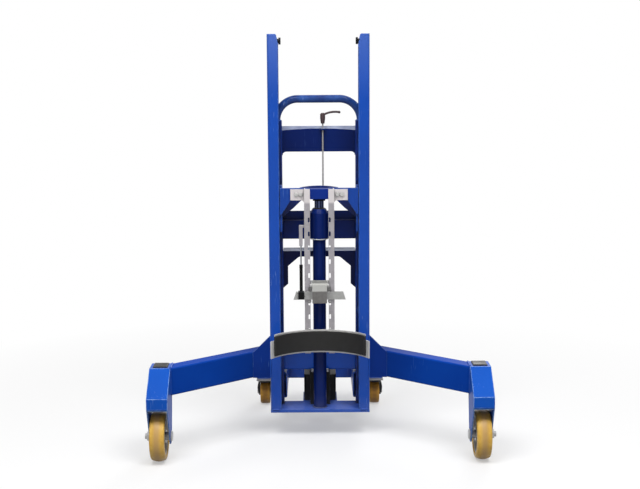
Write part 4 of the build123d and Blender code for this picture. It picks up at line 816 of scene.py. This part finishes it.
rail_low, rail_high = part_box("right_rail")
bracket_front = rail_high.y - BRACKET_PLATE
for side, sign in SIDES:
    x = sign * (rail_low.x + RAIL_FACE)
    bottom, top = rail_high.z - BRACKET_HEIGHT, rail_high.z - SMALL_GAP
    corners = [(x, bracket_front, bottom), (x, bracket_front, top)]
    weld(f"{side}_rail_weld", corners, RAIL_BEAD, "zinc", "carriage")

barrel_middle = middle_of("lift_cylinder")
barrel_radius = half_width("lift_cylinder")
foot = Vector((barrel_middle.x, barrel_middle.y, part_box("lift_cylinder")[0].z))
weld_round("cylinder_foot_weld", foot, barrel_radius, PLATE_BEAD, count=36, finish="navy_paint")
print("rail and cylinder welds done, bracket front", round(bracket_front, 4))

# %% [markdown]
# ## Turned trim: washers, seals and shields
# Small round pieces are made like on a lathe. A profile of radius and length is spun about an axis, and the
# rings are joined to a skin. The profile is closed, so a washer is a true ring with a bore.

# %% Lathe helper
AXES = {"x": Vector((1, 0, 0)), "y": Vector((0, 1, 0)), "z": Vector((0, 0, 1))}


def lathe(name, profile, centre, axis, finish, body, segments=48):
    """Spins a closed profile of radius and length about an axis through the centre."""
    along = AXES[axis]
    first, second = square_to(along)
    rings = []
    for angle in full_turn(segments):
        out = math.cos(angle) * first + math.sin(angle) * second
        rings.append([Vector(centre) + radius * out + length * along for radius, length in profile])
    return make_piece(name, *looped(rings), finish, body)


def washer(name, centre, axis, bore, radius, thickness, body):
    """A flat plated washer with broken edges."""
    bevel = min(thickness, radius - bore) * 0.2
    profile = [
        (bore, 0), (radius - bevel, 0), (radius, bevel), (radius, thickness - bevel),
        (radius - bevel, thickness), (bore, thickness),
    ]
    lathe(name, profile, centre, axis, "zinc", body)


print("lathe ready")

# %% [markdown]
# ## Washers under the rail bolts and the wheel axles
# The rails hang on four bolts with plain washers. Each front axle has a large washer under its nut and its
# head, and each caster axle has a small one against both cheeks of its fork.

# %% Washers
RAIL_WASHER = {"bore": 0.0045, "radius": 0.0088, "thickness": 0.0015}
AXLE_WASHER = {"bore": 0.0102, "radius": 0.0195, "thickness": 0.002}
CASTER_WASHER = {"bore": 0.0051, "radius": 0.0102, "thickness": 0.0012}
RAIL_BOLT_PLACES = (0.034, 0.051)
RAIL_BOLT_CORNER = 0.0075
CASTER_AXLE_HEAD = 0.006

bolt_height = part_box("head_bolts")[1].z - RAIL_BOLT_CORNER
washer_front = bracket_front - RAIL_WASHER["thickness"]
for side, sign in SIDES:
    for number, away in enumerate(RAIL_BOLT_PLACES, start=1):
        centre = (sign * (rail_low.x + away), washer_front, bolt_height)
        washer(f"{side}_rail_washer_{number}", centre, "y", **RAIL_WASHER, body="carriage")

axle_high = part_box("front_axles")[1]
axle_middle = middle_of("front_axles")
for side, sign in SIDES:
    for end, x, outward in (("nut", sign * hood_high.x, sign), ("head", sign * hood_low.x, -sign)):
        start = x if outward > 0 else x - AXLE_WASHER["thickness"]
        centre = (start, axle_middle.y, axle_middle.z)
        washer(f"{side}_axle_{end}_washer", centre, "x", **AXLE_WASHER, body="chassis")

for side, sign in SIDES:
    pin_low, pin_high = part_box(f"{side}_caster_axle")
    pin_middle = middle_of(f"{side}_caster_axle")
    left = pin_low.x + CASTER_AXLE_HEAD - CASTER_WASHER["thickness"]
    right = pin_high.x - CASTER_AXLE_HEAD
    for end, x in (("left", left), ("right", right)):
        centre = (x, pin_middle.y, pin_middle.z)
        washer(f"{side}_caster_{end}_washer", centre, "x", **CASTER_WASHER, body=f"{side}_caster_swivel")
print("washers done, rail bolts at height", round(bolt_height, 4))

# %% [markdown]
# ## Threads on the axle ends
# The end of each front axle stands out of its nut and shows its thread. The thread is a stub whose radius
# follows a helix: it rises and falls once a pitch along the bar, and the phase moves once around with each
# turn.

# %% Thread the axle ends
THREAD_RADIUS = 0.0101
THREAD_DEPTH = 0.06
THREAD_PROUD = 1.004
THREAD_PITCH = 0.0015
THREAD_SIDES = 36
ROWS_A_PITCH = 6
NUT_HEIGHT = 0.01
THREAD_SHARE = 0.995


def thread(name, centre, length):
    """A threaded stub along X with a flat end."""
    along = AXES["x"]
    first, second = square_to(along)
    rows = max(8, round(abs(length) / THREAD_PITCH * ROWS_A_PITCH))
    rings = []
    for row in range(rows + 1):
        place = length * row / rows
        ring = []
        for step, angle in enumerate(full_turn(THREAD_SIDES)):
            phase = (abs(place) / THREAD_PITCH - step / THREAD_SIDES) % 1.0
            depth = THREAD_DEPTH * THREAD_RADIUS * (1 - abs(2 * phase - 1))
            out = math.cos(angle) * first + math.sin(angle) * second
            ring.append(Vector(centre) + (THREAD_RADIUS * THREAD_PROUD - depth) * out + place * along)
        rings.append(ring)
    make_piece(name, *capped(rings), "zinc", "chassis")


for side, sign in SIDES:
    start = sign * (hood_high.x + NUT_HEIGHT)
    length = (sign * axle_high.x - start) * THREAD_SHARE
    thread(f"{side}_axle_thread", (start, axle_middle.y, axle_middle.z), length)
print("axle threads", round(abs(length) * 1000, 1), "mm long")

# %% [markdown]
# ## Shields on the wheel hubs
# Each front wheel turns on a pair of bearings behind thin pressed shields. They are the light rings that
# show beside the axle from the middle of the machine. They ride on the wheel, and turn with it.

# %% Bearing shields
SHIELD_PROUD = 0.0007
SHIELD_PROFILE = (
    (0.0158, 0.0), (0.0232, 0.0), (0.0232, 0.5), (0.0222, 1.0), (0.0205, 1.0),
    (0.0198, 0.4), (0.0185, 0.4), (0.0178, 1.0), (0.0158, 1.0),
)

for side, sign in SIDES:
    core_low, core_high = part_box(f"{side}_front_core")
    for face, x, outward in (("inner", core_low.x, -1), ("outer", core_high.x, 1)):
        profile = [(radius, outward * SHIELD_PROUD * share) for radius, share in SHIELD_PROFILE]
        centre = (x, axle_middle.y, axle_middle.z)
        lathe(f"{side}_hub_{face}_shield", profile, centre, "x", "bright_steel", f"{side}_front_wheel")
print("bearing shields done")

# %% [markdown]
# ## The rubber lining of the saddle
# A strip of rubber lines the steel saddle, so that it holds without scratching. The solid has square
# corners, and moulded rubber has none. A Bevel modifier could round them, but it would round the glued
# edges too, so the strip is swept anew: flat where it is glued, crowned in front, with round front edges
# and round ends. It stays inside the space of the frame's own pad, and stands for it.

# %% Sweep the lining
GLUED_RADIUS = 0.203
LINING_DEPTH = 0.008
LINING_ROUND = 0.003
LINING_CROWN = 0.0008
ROUND_STEPS = 5
CROWN_STEPS = 4
BEND_STEPS = 28
SHARP_ANGLE = 50

lining_low, lining_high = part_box("saddle_pad")
lining_bend = math.asin(lining_high.x / GLUED_RADIUS)
lining_half = (lining_high.z - lining_low.z) / 2
lining_centre = Vector((0, lining_high.y - GLUED_RADIUS, lining_low.z + lining_half))
quarter = [math.pi / 2 * i / ROUND_STEPS for i in range(ROUND_STEPS + 1)]


def lining_section(inset):
    """Depth and height of the points round the strip, from the glued lower edge to the glued upper one."""
    half = lining_half - inset
    edge = LINING_DEPTH - LINING_CROWN - inset
    flat = half - LINING_ROUND
    corner = [(edge - LINING_ROUND * (1 - math.sin(a)), flat + LINING_ROUND * math.cos(a)) for a in quarter]
    lower = [(depth, -height) for depth, height in corner]
    across = [i / CROWN_STEPS for i in range(1 - CROWN_STEPS, CROWN_STEPS)]
    face = [(edge + LINING_CROWN * (1 - share ** 2), flat * share) for share in across]
    return [(0.0, -half), *lower, *face, *reversed(corner), (0.0, half)]


ends = []
for a in quarter[:-1]:
    ends.append((LINING_ROUND * (1 - math.cos(a)) / GLUED_RADIUS, LINING_ROUND * (1 - math.sin(a))))
straight = lining_bend - LINING_ROUND / GLUED_RADIUS
stations = [(start - lining_bend, inset) for start, inset in ends]
stations += [(straight * i / BEND_STEPS, 0.0) for i in range(-BEND_STEPS, BEND_STEPS + 1)]
stations += [(lining_bend - start, inset) for start, inset in reversed(ends)]
rings = []
for angle, inset in stations:
    out = Vector((math.sin(angle), math.cos(angle), 0))
    ring = []
    for depth, up in lining_section(inset):
        ring.append(lining_centre + (GLUED_RADIUS - depth) * out + Vector((0, 0, up)))
    rings.append(ring)
lining = make_piece("saddle_lining", *capped(rings), "black_rubber", "carriage")
lining.data.set_sharp_from_angle(angle=math.radians(SHARP_ANGLE))
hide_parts("saddle_pad")
print("lining swept over", round(2 * math.degrees(lining_bend), 1), "degrees with", len(rings), "rings")

# %% [markdown]
# ## Seals of the cylinder and the gas spring
# A rubber wiper sits where the ram leaves the cylinder head, and a plated lock ring holds the head on the
# barrel. Its near-white finish is a painted highlight, a thin light line under the head. The gas spring has
# a crimped ferrule at the top of its black tube and a small washer where the rod meets its hanger. The
# profiles give radius and length, and the radius is counted from the bar or tube that the piece sits on.

# %% Wiper, lock ring and ferrule
SPRING_TUBE_RADIUS = 0.006
SPRING_WASHER_RIM = 0.003
SPRING_WASHER_THICKNESS = 0.0008
ROD_PLAY = 0.0004
FERRULE_RAISE = 0.0003
WIPER_PROFILE = ((0.0005, 0.0), (0.0055, 0.0), (0.005, 0.0022), (0.0028, 0.0028), (0.0005, 0.0042))
FERRULE_PROFILE = (
    (0.0, 0.0), (0.0006, -0.0012), (0.0006, -0.0052), (0.0002, -0.0064), (0.0006, -0.0078),
    (0.0006, -0.0112), (0.0, -0.0122),
)


def on_bar(radius, profile):
    """A profile whose radius is counted from a bar."""
    return [(radius + proud, length) for proud, length in profile]


head_low, head_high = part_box("cylinder_head")
head_radius = half_width("cylinder_head")
ram_middle = middle_of("lift_ram")
ram_radius = half_width("lift_ram")
head_top = (0, ram_middle.y, head_high.z)
lathe("ram_wiper", on_bar(ram_radius, WIPER_PROFILE), head_top, "z", "black_rubber", "chassis")
# The lock ring's finish is a painted highlight.
lock_ring = [
    (barrel_radius + 0.0002, -0.0038), (head_radius - 0.0006, -0.0038), (head_radius + 0.0004, -0.003),
    (head_radius + 0.0004, -0.0008), (head_radius - 0.0004, 0.0), (barrel_radius + 0.0002, 0.0),
]
lathe("cylinder_lock_ring", lock_ring, (0, ram_middle.y, head_low.z), "z", "lock_zinc", "chassis")

rod_middle = middle_of("gas_spring_rod")
rod_radius = half_width("gas_spring_rod")
bore = rod_radius + ROD_PLAY
crimped = on_bar(SPRING_TUBE_RADIUS, FERRULE_PROFILE)
ferrule = [(bore, 0.0), *crimped, (bore, crimped[-1][1])]
spring_top = (rod_middle.x, rod_middle.y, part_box("gas_spring_body")[1].z + FERRULE_RAISE)
lathe("gas_spring_ferrule", ferrule, spring_top, "z", "black_paint", "beak_slider")
under_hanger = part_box("gas_spring_rod")[1].z - SPRING_WASHER_THICKNESS
washer("gas_spring_washer", (rod_middle.x, rod_middle.y, under_hanger), "z", bore=rod_radius,
       radius=rod_radius + SPRING_WASHER_RIM, thickness=SPRING_WASHER_THICKNESS, body="carriage")
print("seals done, ram radius", round(ram_radius, 4), "barrel radius", round(barrel_radius, 4))

# %% [markdown]
# ## Screws of the pump, the lever and the ram
# The pump block is closed by four cap screws, and its filler cap has a fluted rim to turn it by. A cap
# screw holds the hand lever on its rod. Under the block of the carriage a thin hexagon nut locks the ram. A
# fluted rim is the same spun profile, with a radius that rises and falls round the turn.

# %% Cap screws, fluted cap and lock nut
PUMP_BLOCK_TOP = 0.234
PUMP_SCREW_X = 0.029
PUMP_SCREW_Y = (-0.004, 0.023)
FILLER_CAP = (-0.026, 0.07, 0.211)
LEVER_BOSS = 0.024
FLUTE_DEPTH = 0.07
STEPS_A_FLUTE = 6
NUT_BITE = 0.97
NUT_PROFILE = ((0.0262, 0.0), (0.027, -0.001), (0.027, -0.0072), (0.0255, -0.0082))


def cap_screw(name, centre, radius, height, body):
    """A round plated screw head with a chamfer and a socket, in shares of its radius and height."""
    shares = ((0.52, 0.3), (0.52, 1.0), (0.86, 1.0), (1.0, 0.84), (1.0, 0.0), (0.1, 0.0), (0.1, 0.3))
    profile = [(radius * across, height * up) for across, up in shares]
    lathe(name, profile, centre, "z", "zinc", body, segments=30)


def fluted_rim(name, centre, bore, radius, height, flutes):
    """A ring with rounded flutes round its outside."""
    rings = []
    for angle in full_turn(flutes * STEPS_A_FLUTE):
        out = Vector((math.cos(angle), math.sin(angle), 0))
        grip = radius * (1 - FLUTE_DEPTH * abs(math.sin(flutes * angle / 2)))
        profile = [(bore, 0), (grip, 0), (grip, height * 0.85), (grip * 0.94, height), (bore, height)]
        rings.append([Vector(centre) + r * out + Vector((0, 0, z)) for r, z in profile])
    make_piece(name, *looped(rings), "black_plastic", "chassis")


pump_screws = [(x, y, PUMP_BLOCK_TOP) for y in PUMP_SCREW_Y for x in (-PUMP_SCREW_X, PUMP_SCREW_X)]
for number, place in enumerate(pump_screws, start=1):
    cap_screw(f"pump_screw_{number}", place, radius=0.005, height=0.005, body="chassis")
fluted_rim("filler_cap_rim", FILLER_CAP, bore=0.012, radius=0.0148, height=0.009, flutes=18)

lever_middle = middle_of("lowering_rod")
boss_top = (lever_middle.x, lever_middle.y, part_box("lowering_rod")[1].z + LEVER_BOSS)
cap_screw("lever_screw", boss_top, radius=0.0042, height=0.0026, body="lowering_control")

nut_bore = ram_radius * NUT_BITE
nut = [(nut_bore, 0.0), *NUT_PROFILE, (nut_bore, NUT_PROFILE[-1][1])]
under_block = (ram_middle.x, ram_middle.y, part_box("crosshead")[0].z)
ram_nut = lathe("ram_lock_nut", nut, under_block, "z", "black_paint", "carriage", segments=6)
ram_nut.data.shade_flat()
print(len(pump_screws), "pump screws, filler rim, lever screw and ram nut done")

# %% [markdown]
# ## The studio
# The machine stands on a plain pale floor in soft light. The floor is white where the lamps reach it and
# keeps the shadow under the wheels. Far away it fades into the white of the background, so no horizon
# shows. For the light that it throws back on the machine it counts as grey, so that undersides stay dark.

# %% Floor
FLOOR_SIZE = 60.0
FLOOR_CUTS = 24
FLOOR_FADE = (0.7, 2.2)

mesh = bpy.data.meshes.new("studio_floor")
build = bmesh.new()
bmesh.ops.create_grid(build, x_segments=FLOOR_CUTS, y_segments=FLOOR_CUTS, size=FLOOR_SIZE / 2)
build.to_mesh(mesh)
build.free()
floor = bpy.data.objects.new("studio_floor", mesh)
bpy.context.scene.collection.objects.link(floor)

tree, shader = new_finish("studio_floor")
place = own_place(tree)
paper = noise(tree, place, 300.0, 3.0)
away = put(tree, "VectorMath", {0: place}, operation="LENGTH").outputs["Value"]
ray = put(tree, "LightPath").outputs
seen = math_node(tree, "MAXIMUM", ray["Is Camera Ray"], ray["Is Glossy Ray"])
seen = math_node(tree, "MAXIMUM", seen, ray["Is Transmission Ray"])
pale = blend(tree, paper, "F4F4F4", "FAFAFA")
tree.links.new(blend(tree, seen, "8C8C8C", pale), shader.inputs["Base Color"])
shader.inputs["Roughness"].default_value = 0.9
shader.inputs["Specular IOR Level"].default_value = 0.1
far = times(tree, spread(tree, away, *FLOOR_FADE, 0.4, 1.0), seen)
white = put(tree, "Emission", {"Color": (1, 1, 1, 1), "Strength": 1.0})
mixed = put(tree, "MixShader", {0: far, 1: shader.outputs["BSDF"], 2: white.outputs["Emission"]})
tree.links.new(mixed.outputs["Shader"], tree.nodes["Material Output"].inputs["Surface"])
mesh.materials.append(finishes["studio_floor"])
print("floor", floor.name, FLOOR_SIZE, "metres square")

# %% [markdown]
# ## Light
# Two broad lamps hang in front and above, left and right, so that tops are bright and the uprights shade
# what lies between them. A third lamp keeps the operator's side readable, and a weak one in front opens the
# shadows. The world adds an even glow. It is white to the camera, and reflections see it white behind the
# machine, where the backdrop is, and darker in front, where a photographer's room would be, so that the
# paint keeps its depth.

# %% Lamps and world
ROOM_GLOW = 0.32


def soft_lamp(name, place, target, size, power):
    """A square area lamp that looks at a point."""
    data = bpy.data.lights.new(name, "AREA")
    data.shape = "SQUARE"
    data.size = size
    data.energy = power
    lamp = bpy.data.objects.new(name, data)
    lamp.location = place
    lamp.rotation_euler = (Vector(target) - Vector(place)).to_track_quat("-Z", "Y").to_euler()
    bpy.context.scene.collection.objects.link(lamp)


soft_lamp("left_lamp", (-1.2, -2.2, 4.2), target=(0, -0.2, 0.5), size=1.8, power=92.0)
soft_lamp("right_lamp", (1.2, -2.2, 4.2), target=(0, -0.2, 0.5), size=1.8, power=92.0)
soft_lamp("back_lamp", (1.6, 4.2, 3.0), target=(0, 0, 0.7), size=1.8, power=70.0)
soft_lamp("front_lamp", (-0.6, -5.2, 2.2), target=(0, 0, 0.6), size=1.4, power=15.0)

studio = bpy.data.worlds.new("studio")
bpy.context.scene.world = studio
studio.use_nodes = True
tree = studio.node_tree
glow = tree.nodes["Background"]
ray = put(tree, "LightPath").outputs
direction = put(tree, "TexCoord").outputs["Generated"]
behind = spread(tree, on_axis(tree, direction, "Y"), 0.0, 0.6, 0.1, 1.0)
above = spread(tree, on_axis(tree, direction, "Z"), 0.3, 1.0, 0.1, 0.3)
mirrored = math_node(tree, "MAXIMUM", behind, above)
bright = math_node(tree, "MAXIMUM", ray["Is Glossy Ray"], ray["Is Transmission Ray"])
plain = times(tree, math_node(tree, "SUBTRACT", 1.0, bright), ROOM_GLOW)
strength = math_node(tree, "ADD", times(tree, bright, mirrored), plain)
strength = math_node(tree, "MAXIMUM", strength, ray["Is Camera Ray"])
glow.inputs["Color"].default_value = (1, 1, 1, 1)
tree.links.new(strength, glow.inputs["Strength"])
bpy.context.scene.view_settings.view_transform = "Standard"
print("studio lit")
